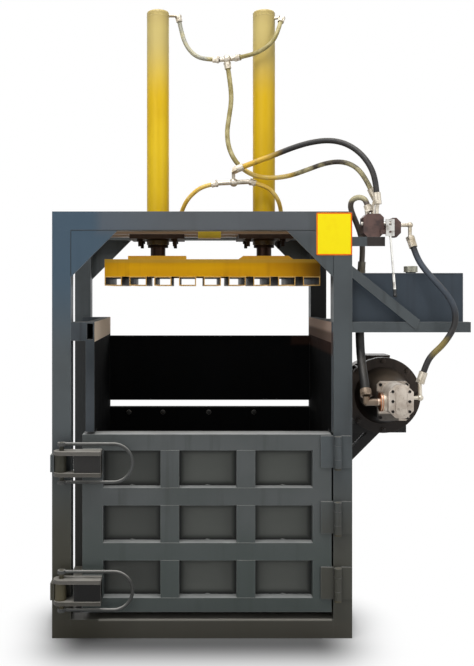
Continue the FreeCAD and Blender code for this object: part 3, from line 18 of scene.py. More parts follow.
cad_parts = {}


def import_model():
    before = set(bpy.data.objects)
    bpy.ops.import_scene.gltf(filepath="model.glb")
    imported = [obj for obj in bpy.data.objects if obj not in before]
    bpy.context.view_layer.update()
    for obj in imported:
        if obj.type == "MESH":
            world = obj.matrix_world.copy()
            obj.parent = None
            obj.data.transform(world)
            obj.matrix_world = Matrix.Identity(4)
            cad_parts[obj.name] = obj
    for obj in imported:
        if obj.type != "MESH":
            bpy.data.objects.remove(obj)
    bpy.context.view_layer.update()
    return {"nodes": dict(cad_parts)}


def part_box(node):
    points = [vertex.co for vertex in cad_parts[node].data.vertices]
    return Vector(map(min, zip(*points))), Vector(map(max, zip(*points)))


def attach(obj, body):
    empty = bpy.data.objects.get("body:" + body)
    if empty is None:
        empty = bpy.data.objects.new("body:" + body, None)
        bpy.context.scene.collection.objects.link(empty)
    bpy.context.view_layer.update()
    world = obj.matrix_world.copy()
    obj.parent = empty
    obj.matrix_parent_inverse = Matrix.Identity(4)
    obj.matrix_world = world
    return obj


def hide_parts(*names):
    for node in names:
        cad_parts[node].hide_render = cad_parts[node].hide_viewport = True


LOG = logging.getLogger("baler")

Point = tuple[float, float, float]
Colour = tuple[int, int, int]
Span = tuple[float, float]
Run = tuple[Point, Point]
Pin = bpy.types.NodeSocket
Pins = dict[str, Pin]

FAR = 9.0  # a coordinate beyond the machine on any side
ALIKE = 0.9  # two directions whose dot product is above this count as the same
ACROSS = 0.5  # and below this as square to each other
KNOB_LENGTH = 0.034
WHITE = (1.0, 1.0, 1.0, 1.0)
FRONT = Vector((0, -1, 0))
TOE, TOE_SLOPE, LIFT, CURVE = 0.04045, 12.92, 0.055, 2.4  # the standard screen curve


def paint(colour: Colour) -> tuple[float, float, float, float]:
    """Turn a screen colour from 0 to 255 into the linear colour that a node reads.

    Args:
        colour: Red, green and blue.

    Returns:
        The linear colour with an alpha of 1.
    """
    def linear(value: int) -> float:
        """Undo the screen curve for one channel."""
        share = value / 255
        return share / TOE_SLOPE if share <= TOE else ((share + LIFT) / (1 + LIFT)) ** CURVE

    red, green, blue = colour
    return linear(red), linear(green), linear(blue), 1.0


# ---------- shading
class Net:
    """A node tree that grows node by node."""

    def __init__(self, tree: bpy.types.NodeTree) -> None:
        """Take over a tree."""
        self.tree = tree

    def add(self, kind: str, pins: dict[str | int, object] | None = None,
            **settings: object) -> bpy.types.Node:
        """Add a node, set its properties and feed its inputs.

        Args:
            kind: Its type, without the words that all types start with.
            pins: The value or the socket for each input, by number or name.
            **settings: Its properties.

        Returns:
            The node.
        """
        made = self.tree.nodes.new(f"ShaderNode{kind}")
        for label, value in settings.items():
            setattr(made, label, value)
        for label, value in (pins or {}).items():
            if isinstance(value, Pin):
                self.tree.links.new(value, made.inputs[label])
            else:
                made.inputs[label].default_value = value
        return made

    def math(self, operation: str, *values: float | Pin) -> Pin:
        """Work out a number from numbers."""
        return self.add("Math", dict(enumerate(values)), operation=operation).outputs[0]

    def vector(self, operation: str, *values: Point | Pin) -> Pin:
        """Work out a vector from vectors, or the number that some operations give.

        Args:
            operation: The step's name.
            *values: What it works on.

        Returns:
            The result.
        """
        step = self.add("VectorMath", dict(enumerate(values)), operation=operation)
        return step.outputs["Value" if operation in ("LENGTH", "DOT_PRODUCT") else "Vector"]

    def place(self) -> Pin:
        """Give the place on the piece."""
        return self.add("TexCoord").outputs["Object"]

    def split(self, vector: Pin) -> bpy.types.NodeOutputs:
        """Give the three parts of a vector."""
        return self.add("SeparateXYZ", {0: vector}).outputs

    def clouds(self, place: Pin, scale: float | Pin, detail: float | Pin) -> Pin:
        """Give noise between 0 and 1."""
        return self.add("TexNoise", {"Vector": place, "Scale": scale, "Detail": detail}).outputs["Fac"]

    def smooth(self, value: Pin, low: float | Pin = 0.0, high: float | Pin = 1.0) -> Pin:
        """Map a value between two limits smoothly to 0 and 1."""
        return self.add("MapRange", {"Value": value, "From Min": low, "From Max": high},
                        interpolation_type="SMOOTHSTEP").outputs["Result"]


@dataclass
class Effect:
    """A mask that more than one finish uses: a node group, built when it is first asked for.

    Attributes:
        name: The group's name.
        inputs: Each input's name and default, a point for a vector.
        draw: Draws the mask from the inputs.
        built: The group, once there is one.
    """

    name: str
    inputs: dict[str, float | Point]
    draw: Callable[[Net, Pins], Pin]
    built: bpy.types.NodeTree | None = None

    def tree(self) -> bpy.types.NodeTree:
        """Give the group.

        Returns:
            The group, drawn when it is first asked for.
        """
        if self.built is None:
            self.built = tree = bpy.data.node_groups.new(self.name, "ShaderNodeTree")
            for label, value in self.inputs.items():
                form = "NodeSocketVector" if isinstance(value, tuple) else "NodeSocketFloat"
                tree.interface.new_socket(label, in_out="INPUT", socket_type=form).default_value = value
            tree.interface.new_socket("Mask", in_out="OUTPUT", socket_type="NodeSocketFloat")
            start, end = tree.nodes.new("NodeGroupInput"), tree.nodes.new("NodeGroupOutput")
            pins = {label: start.outputs[label] for label in self.inputs}
            tree.links.new(self.draw(Net(tree), pins), end.inputs["Mask"])
        return self.built


def draw_zone(net: Net, pins: Pins) -> Pin:
    """Mask a box with soft sides, by the distance to the nearest side.

    Args:
        net: The group's net.
        pins: The group's inputs.

    Returns:
        The mask.
    """
    place = net.place()
    above = net.split(net.vector("SUBTRACT", place, pins["Low"]))
    below = net.split(net.vector("SUBTRACT", pins["High"], place))
    nearest, *others = (*above, *below)
    for side in others:
        nearest = net.math("MINIMUM", nearest, side)
    return net.smooth(nearest, low=0.0, high=pins["Soft"])


def draw_patches(net: Net, pins: Pins) -> Pin:
    """Mask the cloudy patches that paint, dirt and castings have."""
    return net.smooth(net.clouds(net.place(), pins["Scale"], pins["Detail"]), pins["Low"], pins["High"])


def draw_streaks(net: Net, pins: Pins) -> Pin:
    """Mask the narrow upright runs that rain and oil leave.

    Args:
        net: The group's net.
        pins: The group's inputs.

    Returns:
        The mask.
    """
    scale, upright = pins["Scale"], net.math("MULTIPLY", pins["Scale"], pins["Stretch"])
    squeeze = net.add("CombineXYZ", {0: scale, 1: scale, 2: upright}).outputs[0]
    noise = net.clouds(net.vector("MULTIPLY", net.place(), squeeze), scale=1.0, detail=5.0)
    return net.smooth(noise, pins["Low"], pins["High"])


def draw_rubbed_and_lit_edges(net: Net, pins: Pins) -> Pin:
    """Mask the edges rubbed bare, which also carry a painted highlight: where a rounded normal turns away,
    broken up by noise.

    Args:
        net: The group's net.
        pins: The group's inputs.

    Returns:
        The mask.
    """
    rounded = net.add("Bevel", {"Radius": pins["Reach"]}, samples=4).outputs["Normal"]
    agree = net.vector("DOT_PRODUCT", rounded, net.add("NewGeometry").outputs["Normal"])
    edge = net.smooth(net.math("SUBTRACT", 1.0, agree), pins["Low"], pins["High"])
    return net.math("MULTIPLY", edge, net.clouds(net.place(), scale=22.0, detail=6.0))


def draw_dust_and_top_light(net: Net, pins: Pins) -> Pin:
    """Mask the faces that look up, in clouds: settled dust, and a painted top light.

    Args:
        net: The group's net.
        pins: The group's inputs.

    Returns:
        The mask.
    """
    upright = net.split(net.add("NewGeometry").outputs["Normal"])["Z"]
    thick = net.math("MULTIPLY_ADD", net.clouds(net.place(), pins["Scale"], detail=4.0), 0.8, 0.35)
    both = net.math("MULTIPLY", net.smooth(upright, low=0.35, high=0.95), thick)
    return net.math("MULTIPLY", both, pins["Amount"])


ZONE = Effect("Zone", {"Low": (0.0, 0.0, 0.0), "High": (1.0, 1.0, 1.0), "Soft": 0.001}, draw_zone)
PATCHES = Effect("Patches", {"Scale": 6.0, "Detail": 4.0, "Low": 0.45, "High": 0.7}, draw_patches)
STREAKS = Effect("Streaks", {"Scale": 30.0, "Stretch": 0.06, "Low": 0.5, "High": 0.75}, draw_streaks)
RUBBED_AND_LIT_EDGES = Effect("RubbedAndLitEdges", {"Reach": 0.003, "Low": 0.02, "High": 0.25}, draw_rubbed_and_lit_edges)
DUST_AND_TOP_LIGHT = Effect("DustAndTopLight", {"Amount": 0.5, "Scale": 9.0}, draw_dust_and_top_light)


@dataclass(frozen=True)
class Zone:
    """A box in metres with soft sides that lays another colour on part of a piece: its own tone, or a painted
    shade or highlight.
    """

    colour: Colour
    x: Span = (-FAR, FAR)
    y: Span = (-FAR, FAR)
    z: Span = (-FAR, FAR)
    soft: float = 0.001
    share: float = 1.0


class Coat(Net):
    """A material under construction: one shader and a chain of colours mixed over each other."""

    def __init__(self, name: str, base: Colour, roughness: float, metallic: float = 0.0,
                 sheen: float = 0.5) -> None:
        """Start a material.

        Args:
            name: The material's name.
            base: The colour under all others.
            roughness: Roughness all over.
            metallic: 1 for bare metal.
            sheen: Strength of the mirror reflection of a painted or plastic skin.
        """
        self.material = bpy.data.materials.new(name)
        self.material.use_nodes = True
        super().__init__(self.material.node_tree)
        self.shader = self.tree.nodes["Principled BSDF"]
        for label, value in (("Roughness", roughness), ("Metallic", metallic), ("Specular IOR Level", sheen)):
            self.shader.inputs[label].default_value = value
        self.colour: Pin | tuple = paint(base)

    def feed(self, label: str, value: Pin) -> None:
        """Link a value to an input of the shader."""
        self.tree.links.new(value, self.shader.inputs[label])

    def mask(self, effect: Effect, **values: float | Point) -> Pin:
        """Place a shared effect with its own values."""
        return self.add("Group", values, node_tree=effect.tree()).outputs[0]

    def over(self, colour: Colour, mask: Pin, share: float = 1.0) -> None:
        """Mix a colour over what is there.

        Args:
            colour: The colour on top.
            mask: Where it goes.
            share: How much of it shows there.
        """
        if share < 1.0:
            mask = self.math("MULTIPLY", mask, share)
        mix = self.add("Mix", {"Factor": mask, "A": self.colour, "B": paint(colour)}, data_type="RGBA")
        self.colour = mix.outputs["Result"]
        self.feed("Base Color", self.colour)

    def zones(self, zones: tuple[Zone, ...]) -> None:
        """Lay each zone's colour over what is there.

        Args:
            zones: The zones in the order in which they are laid.
        """
        for zone in zones:
            low, high = zip(zone.x, zone.y, zone.z)
            self.over(zone.colour, self.mask(ZONE, Low=low, High=high, Soft=zone.soft), zone.share)

    def noise(self, scale: float, detail: float = 4.0, stretch: Point = (1.0, 1.0, 1.0)) -> Pin:
        """Give noise on the piece's own place, with a scale for each axis."""
        mapping = self.add("Mapping", {"Vector": self.place(), "Scale": stretch})
        return self.clouds(mapping.outputs["Vector"], scale, detail)

    def relief(self, height: Pin, depth: float, strength: float) -> None:
        """Raise the surface by a value.

        Args:
            height: The value.
            depth: How far a value of 1 stands out.
            strength: How strongly it shows.
        """
        bump = self.add("Bump", {"Strength": strength, "Distance": depth, "Height": height})
        self.feed("Normal", bump.outputs["Normal"])

    def vary_roughness(self, value: Pin, low: float, high: float) -> None:
        """Let the roughness follow a value between two limits."""
        span = self.add("MapRange", {"Value": value, "To Min": low, "To Max": high})
        self.feed("Roughness", span.outputs["Result"])


# ---------- finishes
@dataclass(frozen=True)
class WornPaint:
    """Brushed or sprayed machine paint with clouds and runs, dust with painted top light on faces that look
    up, and rubbed edges with a painted highlight.
    """

    name: str
    colour: Colour
    cloud: Colour
    run: Colour
    rubbed_and_lit_edge: Colour
    dust_and_top_light: Colour = (150, 146, 138)
    dust_and_top_light_amount: float = 0.35
    roughness: float = 0.42
    edge_reach: float = 0.004
    edge_share: float = 0.8
    sheen: float = 0.2
    zones: tuple[Zone, ...] = ()

    def material(self) -> bpy.types.Material:
        """Build the paint's material.

        Returns:
            The material.
        """
        coat = Coat(self.name, self.colour, self.roughness, sheen=self.sheen)
        coat.over(self.cloud, coat.mask(PATCHES, Scale=3.2, Detail=6.0, Low=0.38, High=0.72))
        coat.over(self.run, coat.mask(STREAKS, Scale=26.0, Stretch=0.05, Low=0.52, High=0.8), share=0.55)
        coat.zones(self.zones)
        # Dust on the faces that look up, laid pale so that it also paints the light from above.
        coat.over(self.dust_and_top_light, coat.mask(DUST_AND_TOP_LIGHT, Amount=self.dust_and_top_light_amount, Scale=8.0))
        # Rubbed edges, laid pale so that they also paint a highlight where light catches the edges.
        coat.over(self.rubbed_and_lit_edge, coat.mask(RUBBED_AND_LIT_EDGES, Reach=self.edge_reach, Low=0.02, High=0.3), self.edge_share)
        coat.relief(coat.noise(scale=240.0, detail=3.0), depth=0.0006, strength=0.35)
        coat.vary_roughness(coat.noise(scale=11.0, detail=5.0), self.roughness - 0.1, self.roughness + 0.18)
        return coat.material


@dataclass(frozen=True)
class BareSteel:
    """Turned, ground or sawn steel under a film of oil."""

    name: str
    colour: Colour
    stain: Colour
    roughness: float = 0.35
    metallic: float = 1.0
    grain: Point = (1.0, 1.0, 18.0)
    sheen: float = 0.5
    zones: tuple[Zone, ...] = ()

    def material(self) -> bpy.types.Material:
        """Build the steel's material.

        Returns:
            The material.
        """
        coat = Coat(self.name, self.colour, self.roughness, self.metallic, self.sheen)
        coat.over(self.stain, coat.mask(PATCHES, Scale=19.0, Detail=5.0, Low=0.42, High=0.72), share=0.8)
        coat.zones(self.zones)
        coat.relief(coat.noise(scale=130.0, stretch=self.grain), depth=0.0003, strength=0.4)
        coat.vary_roughness(coat.noise(scale=32.0), self.roughness - 0.08, self.roughness + 0.2)
        return coat.material


@dataclass(frozen=True)
class SandCast:
    """Cast metal with a pebbled skin and grime in its pores."""

    name: str
    colour: Colour
    shade: Colour
    metallic: float
    roughness: float = 0.55
    grime: Colour = (36, 30, 27)
    zones: tuple[Zone, ...] = ()

    def material(self) -> bpy.types.Material:
        """Build the casting's material.

        Returns:
            The material.
        """
        coat = Coat(self.name, self.colour, self.roughness, self.metallic)
        coat.over(self.shade, coat.mask(PATCHES, Scale=26.0, Detail=6.0, Low=0.4, High=0.68), share=0.85)
        coat.over(self.grime, coat.mask(PATCHES, Scale=70.0, Detail=4.0, Low=0.6, High=0.78), share=0.6)
        coat.zones(self.zones)
        coat.relief(coat.noise(scale=420.0, detail=3.0), depth=0.0009, strength=0.55)
        return coat.material


@dataclass(frozen=True)
class HoseRubber:
    """The cover of a hose, bare or under overspray."""

    name: str
    colour: Colour
    overspray: Colour
    spread: Span
    dust_and_top_light: Colour = (120, 112, 98)
    roughness: float = 0.5
    zones: tuple[Zone, ...] = ()

    def material(self) -> bpy.types.Material:
        """Build the rubber's material.

        Returns:
            The material.
        """
        coat = Coat(self.name, self.colour, self.roughness, sheen=0.3)
        low, high = self.spread
        coat.zones(self.zones)
        coat.over(self.overspray, coat.mask(PATCHES, Scale=24.0, Detail=5.0, Low=low, High=high), share=0.7)
        # Dust on the faces that look up, which also paints the light from above.
        coat.over(self.dust_and_top_light, coat.mask(DUST_AND_TOP_LIGHT, Amount=0.3, Scale=30.0))
        coat.relief(coat.noise(scale=500.0, detail=2.0), depth=0.0005, strength=0.4)
        return coat.material


@dataclass(frozen=True)
class SignEnamel:
    """A plain yellow plate with an orange line round it."""

    name: str
    low: Point
    high: Point
    colour: Colour = (232, 212, 8)
    cloud: Colour = (226, 196, 8)
    border: Colour = (222, 98, 16)
    inset: float = 0.003
    line: float = 0.0055

    def material(self) -> bpy.types.Material:
        """Build the plate's material, its line placed by the distance to the nearest edge.

        Returns:
            The material.
        """
        coat = Coat(self.name, self.colour, roughness=0.38, sheen=0.2)
        coat.over(self.cloud, coat.mask(PATCHES, Scale=14.0, Detail=5.0, Low=0.5, High=0.8), share=0.7)
        place = coat.split(coat.place())
        edges = []
        for axis in (0, 2):
            low, high = self.low[axis], self.high[axis]
            away = coat.math("ABSOLUTE", coat.math("SUBTRACT", place[axis], (low + high) / 2))
            edges.append(coat.math("SUBTRACT", (high - low) / 2, away))
        nearest = coat.math("MINIMUM", *edges)
        coat.over(self.border, coat.math("COMPARE", nearest, self.inset, self.line / 2))
        return coat.material


@dataclass(frozen=True)
class LeverFinish:
    """A bright lever whose knob end is black plastic."""

    name: str
    knob_top: float
    colour: Colour = (206, 205, 200)
    stain: Colour = (140, 136, 128)
    knob: Colour = (18, 18, 18)

    def material(self) -> bpy.types.Material:
        """Build the lever's material, black below a level.

        Returns:
            The material.
        """
        coat = Coat(self.name, self.colour, roughness=0.3)
        coat.over(self.stain, coat.mask(PATCHES, Scale=40.0, Detail=4.0, Low=0.5, High=0.75))
        below = coat.math("LESS_THAN", coat.split(coat.place())["Z"], self.knob_top)
        coat.over(self.knob, below)
        coat.feed("Metallic", coat.math("SUBTRACT", 1.0, below))
        coat.relief(coat.noise(scale=300.0, detail=3.0), depth=0.0002, strength=0.3)
        return coat.material


class Tone(Enum):
    """The finishes of the machine."""

    FRAME = WornPaint(
        "frame_grey", (72, 77, 79), (61, 65, 67), (48, 49, 49), (126, 128, 126), zones=(
            Zone((62, 60, 51), z=(-FAR, 0.85), soft=0.6, share=0.8),
            Zone((68, 65, 58), z=(-FAR, 0.1), soft=0.05, share=0.6),
            Zone((52, 49, 36), x=(-FAR, -0.3), z=(-FAR, 0.75), soft=0.3, share=0.45),
            Zone((54, 74, 90), x=(-FAR, -0.1), y=(-0.9, 0.2), z=(1.15, FAR), soft=0.45, share=0.8),
            Zone((84, 86, 90), x=(-0.52, 0.45), y=(-0.45, -0.2), z=(1.7, 1.9), soft=0.08, share=0.8),
            # Painted highlight: a pale line along the sill's lit top front edge.
            Zone((150, 147, 138), x=(-0.49, 0.51), y=(-0.42, -0.385), z=(0.072, 0.092), soft=0.005,
                 share=0.6),
            # Painted shade: the front faces of the rear portal and of its left gusset, inside the frame.
            Zone((36, 36, 36), x=(-0.75, -0.45), y=(0.3165, 0.3215), z=(0.0, 1.3), share=0.8),
            Zone((40, 38, 27), x=(-0.606, -0.2), y=(0.2, 0.3215), z=(1.3, 1.735), share=0.75),
            Zone((20, 17, 15), x=(0.3, 0.75), y=(0.3165, 0.3215), z=(0.0, 1.735), share=0.85),
            Zone((38, 29, 25), x=(0.655, 0.76), z=(1.66, 1.725), soft=0.006, share=0.85),
            Zone((108, 84, 58), x=(-0.6, 0.51), y=(-0.15, 0.15), z=(1.735, 1.822), share=0.75)))
    BRACKET = WornPaint(
        "bracket_black", (34, 33, 32), (24, 23, 22), (16, 15, 14), (78, 76, 72), dust_and_top_light_amount=0.3)
    CHAMBER = WornPaint(
        "chamber_grey", (66, 70, 74), (52, 56, 59), (36, 36, 36), (112, 112, 108), dust_and_top_light_amount=0.25,
        roughness=0.8, sheen=0.02, zones=(
            # Painted shade: the left wall's front edge beside the door.
            Zone((30, 31, 32), x=(-0.7, -0.553), y=(-0.45, -0.3985), z=(0.0, 1.262)),
            # Painted shade: the inside of the chamber is laid near black.
            Zone((10, 10, 10), x=(-0.5065, 0.5065), y=(-0.45, 0.2835), z=(0.0, 1.4), share=0.96),
            # Painted highlight on the inner faces of the rails above the side walls, and painted shade under
            # the right one.
            Zone((212, 194, 174), x=(-0.5065, -0.5), y=(-0.399, 0.33), z=(1.263, 1.4), share=0.9),
            Zone((174, 152, 138), x=(0.5, 0.5065), y=(-0.399, 0.33), z=(1.26, 1.4), share=0.85),
            Zone((54, 38, 32), x=(0.4, 0.53), z=(1.2, 1.315), soft=0.02, share=0.7)))
    # The pale dust, laid thick, also paints the light on the ledges and edges that look up.
    DOOR = WornPaint(
        "door_grey", (76, 79, 79), (68, 72, 71), (54, 56, 54), (140, 142, 140), dust_and_top_light=(168, 169, 167),
        dust_and_top_light_amount=0.85, zones=(
            Zone((60, 68, 65), z=(-FAR, 0.62), soft=0.35, share=0.6),
            # Painted highlight: the lit top edge of the door.
            Zone((172, 173, 175), z=(0.8805, FAR), soft=0.0015, share=0.8)))
    # Painted shade: the sheet is dark with a lighter soft box in the middle of each pocket, so that the
    # pockets' corners and edges look shaded; the left column is kept darker as the latches' painted shadow.
    DOOR_SHEET = WornPaint(
        "door_sheet_grey", (34, 35, 34), (30, 31, 30), (26, 26, 25), (120, 122, 120), dust_and_top_light=(150, 151, 149),
        dust_and_top_light_amount=0.8, zones=tuple(
            Zone((80, 82, 78), x=(x, x + 0.245), y=(-0.4, -0.3), z=(z, z + 0.158), soft=0.028, share=share)
            for x, share in ((-0.4685, 0.62), (-0.144, 0.92), (0.1805, 0.92))
            for z in (0.172, 0.4065, 0.641)))
    # Painted light and shade: the lower bracket is laid near black, the arms lighter and the upper arm of
    # each bracket more so; the pale dust and edges also paint top light.
    LATCH = WornPaint(
        "latch_grey", (40, 39, 38), (34, 33, 32), (22, 21, 20), (150, 147, 140), dust_and_top_light=(164, 160, 152),
        dust_and_top_light_amount=0.9, edge_reach=0.003, edge_share=0.9, zones=(
            Zone((8, 8, 8), z=(-FAR, 0.45), share=0.9),
            Zone((98, 95, 90), x=(-0.7, -0.4), y=(-0.5, -0.3), z=(0.789, 0.82), share=0.75),
            Zone((84, 81, 75), x=(-0.7, -0.4), y=(-0.5, -0.3), z=(0.69, 0.719), share=0.7),
            Zone((98, 95, 90), x=(-0.7, -0.4), y=(-0.5, -0.3), z=(0.25, 0.28), share=0.75),
            Zone((84, 81, 75), x=(-0.7, -0.4), y=(-0.5, -0.3), z=(0.15, 0.18), share=0.7)))
    # The pale dust and edges also paint the light on the handles' top sides.
    HANDLE = WornPaint(
        "handle_grey", (72, 73, 72), (58, 58, 56), (44, 42, 40), (160, 158, 152), dust_and_top_light=(176, 174, 168),
        dust_and_top_light_amount=0.9, edge_reach=0.002)
    ROLLER = WornPaint(
        "roller_olive", (78, 73, 55), (62, 58, 46), (40, 37, 30), (130, 124, 104), zones=(
            Zone((44, 44, 38), z=(0.6, FAR), share=0.85),))
    TANK = WornPaint("tank_grey", (54, 62, 70), (46, 53, 60), (36, 40, 44), (110, 116, 120))
    CYLINDER = WornPaint(
        "cylinder_yellow", (206, 172, 22), (196, 160, 16), (176, 140, 18), (232, 218, 160),
        dust_and_top_light=(196, 180, 130), roughness=0.36, zones=(
            Zone((180, 142, 8), x=(0.05, FAR), z=(1.6, 2.8), soft=0.1, share=0.6),
            Zone((172, 156, 100), z=(2.36, 4.0), soft=0.32, share=0.92),
            Zone((150, 132, 84), z=(2.7, 4.0), soft=0.1, share=0.6),
            # Painted shade: the barrels' lower ends under the beams are laid dark.
            Zone((44, 34, 22), z=(1.0, 1.742), soft=0.01, share=0.95)))
    PLATEN = WornPaint(
        "platen_orange", (204, 148, 12), (192, 134, 10), (160, 108, 12), (238, 206, 120), dust_and_top_light=(200, 166, 92),
        roughness=0.36, sheen=0.08, zones=(
            # Painted light and shade: a lighter front strip at the left, and darker towards the right end.
            Zone((214, 160, 10), x=(-0.4, 0.25), y=(-FAR, -0.2), z=(1.55, 1.62), soft=0.05, share=0.7),
            Zone((146, 96, 8), x=(0.1, FAR), z=(0, FAR), soft=0.45, share=0.8),
            Zone((64, 42, 14), x=(0.36, FAR), z=(0, FAR), soft=0.12, share=0.7),
            Zone((176, 142, 56), z=(1.598, FAR), soft=0.012, share=0.6)))
    TUBES = WornPaint(
        "platen_tube_ends", (188, 142, 66), (176, 128, 48), (120, 84, 30), (226, 206, 160), zones=(
            # Painted shade: the tubes' sides and insides behind their front ends are laid near black.
            Zone((24, 15, 9), y=(-0.296, FAR), z=(1.5055, FAR), share=0.97),))
    MOTOR = WornPaint(
        "motor_brown", (72, 60, 51), (52, 43, 36), (24, 20, 17), (100, 92, 82), dust_and_top_light=(104, 96, 86),
        dust_and_top_light_amount=0.5, zones=(
            Zone((14, 9, 7), y=(-0.366, -0.176), share=0.2),
            Zone((8, 6, 5), y=(-0.9, -0.15), z=(-FAR, 1.1), soft=0.12, share=0.92),
            Zone((120, 102, 84), x=(0.64, 0.86), y=(-0.6, -0.19), z=(1.07, 1.22), soft=0.05, share=0.7),
            Zone((14, 9, 7), z=(-FAR, 0.99), soft=0.12, share=0.85)))
    DARK_STEEL = BareSteel("oiled_dark_steel", (40, 29, 22), (20, 13, 10), 0.48, 0.2, sheen=0.06)
    # Oiled rods, laid darker than oiled steel as painted shade.
    RODS = BareSteel("shaded_oiled_rod", (50, 36, 30), (26, 18, 15), 0.3, 0.7, (1.0, 1.0, 0.2), sheen=0.1)
    BRIGHT = BareSteel("ground_bright_steel", (198, 194, 186), (140, 132, 120), 0.28)
    FITTINGS = BareSteel(
        "passivated_fittings", (192, 184, 170), (138, 122, 92), 0.36, 0.8, zones=(
            Zone((104, 88, 74), x=(0.6, 0.69), y=(-0.6, -0.1), z=(0.95, 1.12), share=0.9),
            Zone((58, 55, 46), x=(0.56, 0.7), y=(-0.38, 0.05), z=(1.54, 1.64), soft=0.004, share=0.85)))
    CAP = BareSteel("breather_cap", (158, 156, 142), (92, 90, 78), 0.4, 0.8, (1.0, 1.0, 0.1))
    VALVE = SandCast("valve_casting", (84, 62, 56), (48, 34, 32), 0.2)
    PUMP = SandCast(
        "pump_casting", (184, 174, 162), (158, 145, 132), 0.35, 0.42, zones=(
            # Painted shadow: the pump's lower left corner and its bottom are laid near black.
            Zone((14, 11, 9), x=(0.6, 0.712), y=(-0.6, -0.3), z=(0.9, 1.055), soft=0.006, share=0.9),
            Zone((14, 11, 9), x=(0.6, 0.8), y=(-0.6, -0.3), z=(0.9, 0.96), soft=0.008, share=0.85)))
    COPPER = BareSteel("copper_washers", (196, 132, 96), (150, 96, 66), 0.32)
    BLACK_OXIDE = BareSteel("black_screws", (30, 27, 25), (14, 12, 11), 0.4, 0.7)
    RULE = WornPaint("seam_shadow", (34, 38, 41), (28, 31, 33), (22, 23, 24), (70, 73, 74), dust_and_top_light_amount=0.1)
    WELD = WornPaint(
        "weld_grey", (96, 98, 97), (78, 80, 79), (60, 60, 58), (150, 150, 146), dust_and_top_light=(160, 160, 156),
        dust_and_top_light_amount=0.7)
    TIE = WornPaint("tie_olive", (150, 128, 28), (130, 110, 24), (90, 74, 20), (190, 172, 80))
    HOSE_DARK = HoseRubber(
        "hose_black", (36, 35, 35), (64, 60, 55), (0.5, 0.8), zones=(
            Zone((58, 66, 76), x=(0.8, 1.1), y=(-0.6, -0.3), z=(1.36, 1.68), soft=0.08, share=0.75),
            Zone((16, 15, 14), x=(0.6, 0.7), y=(-0.6, -0.2), z=(1.0, 1.4), soft=0.01, share=0.85),
            Zone((128, 112, 58), x=(0.9, 1.0), y=(-0.6, -0.3), z=(1.19, 1.3), soft=0.035, share=0.8),
            Zone((196, 158, 52), x=(-1.0, 0.33), y=(-0.6, 0.3), z=(1.9, 2.3), soft=0.09, share=0.95)))
    HOSE_PAINTED = HoseRubber(
        "hose_oversprayed", (128, 116, 70), (178, 168, 126), (0.36, 0.7), zones=(
            Zone((146, 146, 138), x=(-0.2, 0.0), y=(-0.2, 0.2), z=(2.54, 2.8), soft=0.03, share=0.8),
            Zone((116, 104, 48), x=(0.18, 0.4), y=(-0.2, 0.2), z=(2.5, 2.7), soft=0.03, share=0.8),
            Zone((206, 168, 60), x=(0.12, 0.4), y=(-0.2, 0.0), z=(1.9, 2.1), soft=0.05, share=0.9),
            Zone((52, 46, 45), x=(0.3, 0.9), y=(-0.5, 0.0), z=(1.8, 2.3), soft=0.16, share=0.95)))
    HOSE_GOLD = HoseRubber("hose_gold", (204, 166, 64), (226, 206, 142), (0.4, 0.75))
    HOSE_RETURN = HoseRubber(
        "hose_grey_brown", (84, 76, 68), (60, 54, 48), (0.5, 0.8), zones=(
            Zone((164, 156, 124), x=(0.5, 0.8), y=(-0.5, -0.2), z=(1.862, 2.0), soft=0.018, share=0.9),))

    @property
    def material(self) -> bpy.types.Material:
        """Give the finish's material, built when it is first asked for."""
        found = bpy.data.materials.get(self.value.name)
        return found if found else self.value.material()


def dress(piece: bpy.types.Object, material: bpy.types.Material) -> None:
    """Put one material on all of a piece.

    Args:
        piece: The piece or carried-over node.
        material: Its finish.
    """
    if not piece.material_slots:
        piece.data.materials.append(material)
    for slot in piece.material_slots:
        slot.material = material


NODE_TONES: dict[Tone, tuple[str, ...]] = {
    Tone.FRAME: ("front_portal", "rear_portal", "top_side_beams", "side_sills", "floor_bearers",
                 "cross_beams", "valve_bracket", "tank_cradle", "frame_hinge_leaves", "door_hinge_leaves"),
    Tone.BRACKET: ("motor_bracket",),
    Tone.CHAMBER: ("chamber_floor", "side_wall_left", "side_wall_right", "rear_wall", "rear_panel"),
    Tone.DOOR: ("door_grid",),
    Tone.DOOR_SHEET: ("door_skin",),
    Tone.LATCH: ("upper_latch_bracket", "lower_latch_bracket"),
    Tone.HANDLE: ("upper_latch_handle", "lower_latch_handle"),
    Tone.ROLLER: ("upper_latch_cam", "lower_latch_cam", "hinge_pins"),
    Tone.DARK_STEEL: ("cylinder_flanges", "rod_glands", "flange_bolts", "pistons", "motor_rotor"),
    Tone.CYLINDER: ("cylinder_barrel_left", "cylinder_barrel_right"),
    Tone.PLATEN: ("platen_frame",),
    Tone.TUBES: ("platen_tubes",),
    Tone.RODS: ("piston_rods",),
    Tone.TANK: ("oil_tank",),
    Tone.CAP: ("filler_cap",),
    Tone.VALVE: ("valve_body",),
    Tone.BRIGHT: ("valve_spool", "drive_gear", "idler_gear"),
    Tone.MOTOR: ("motor_body", "fan_cover", "bell_housing"),
    Tone.PUMP: ("pump_body", "pump_cover"),
    Tone.FITTINGS: ("hose_fittings", "cap_side_tee", "rod_side_tee"),
}


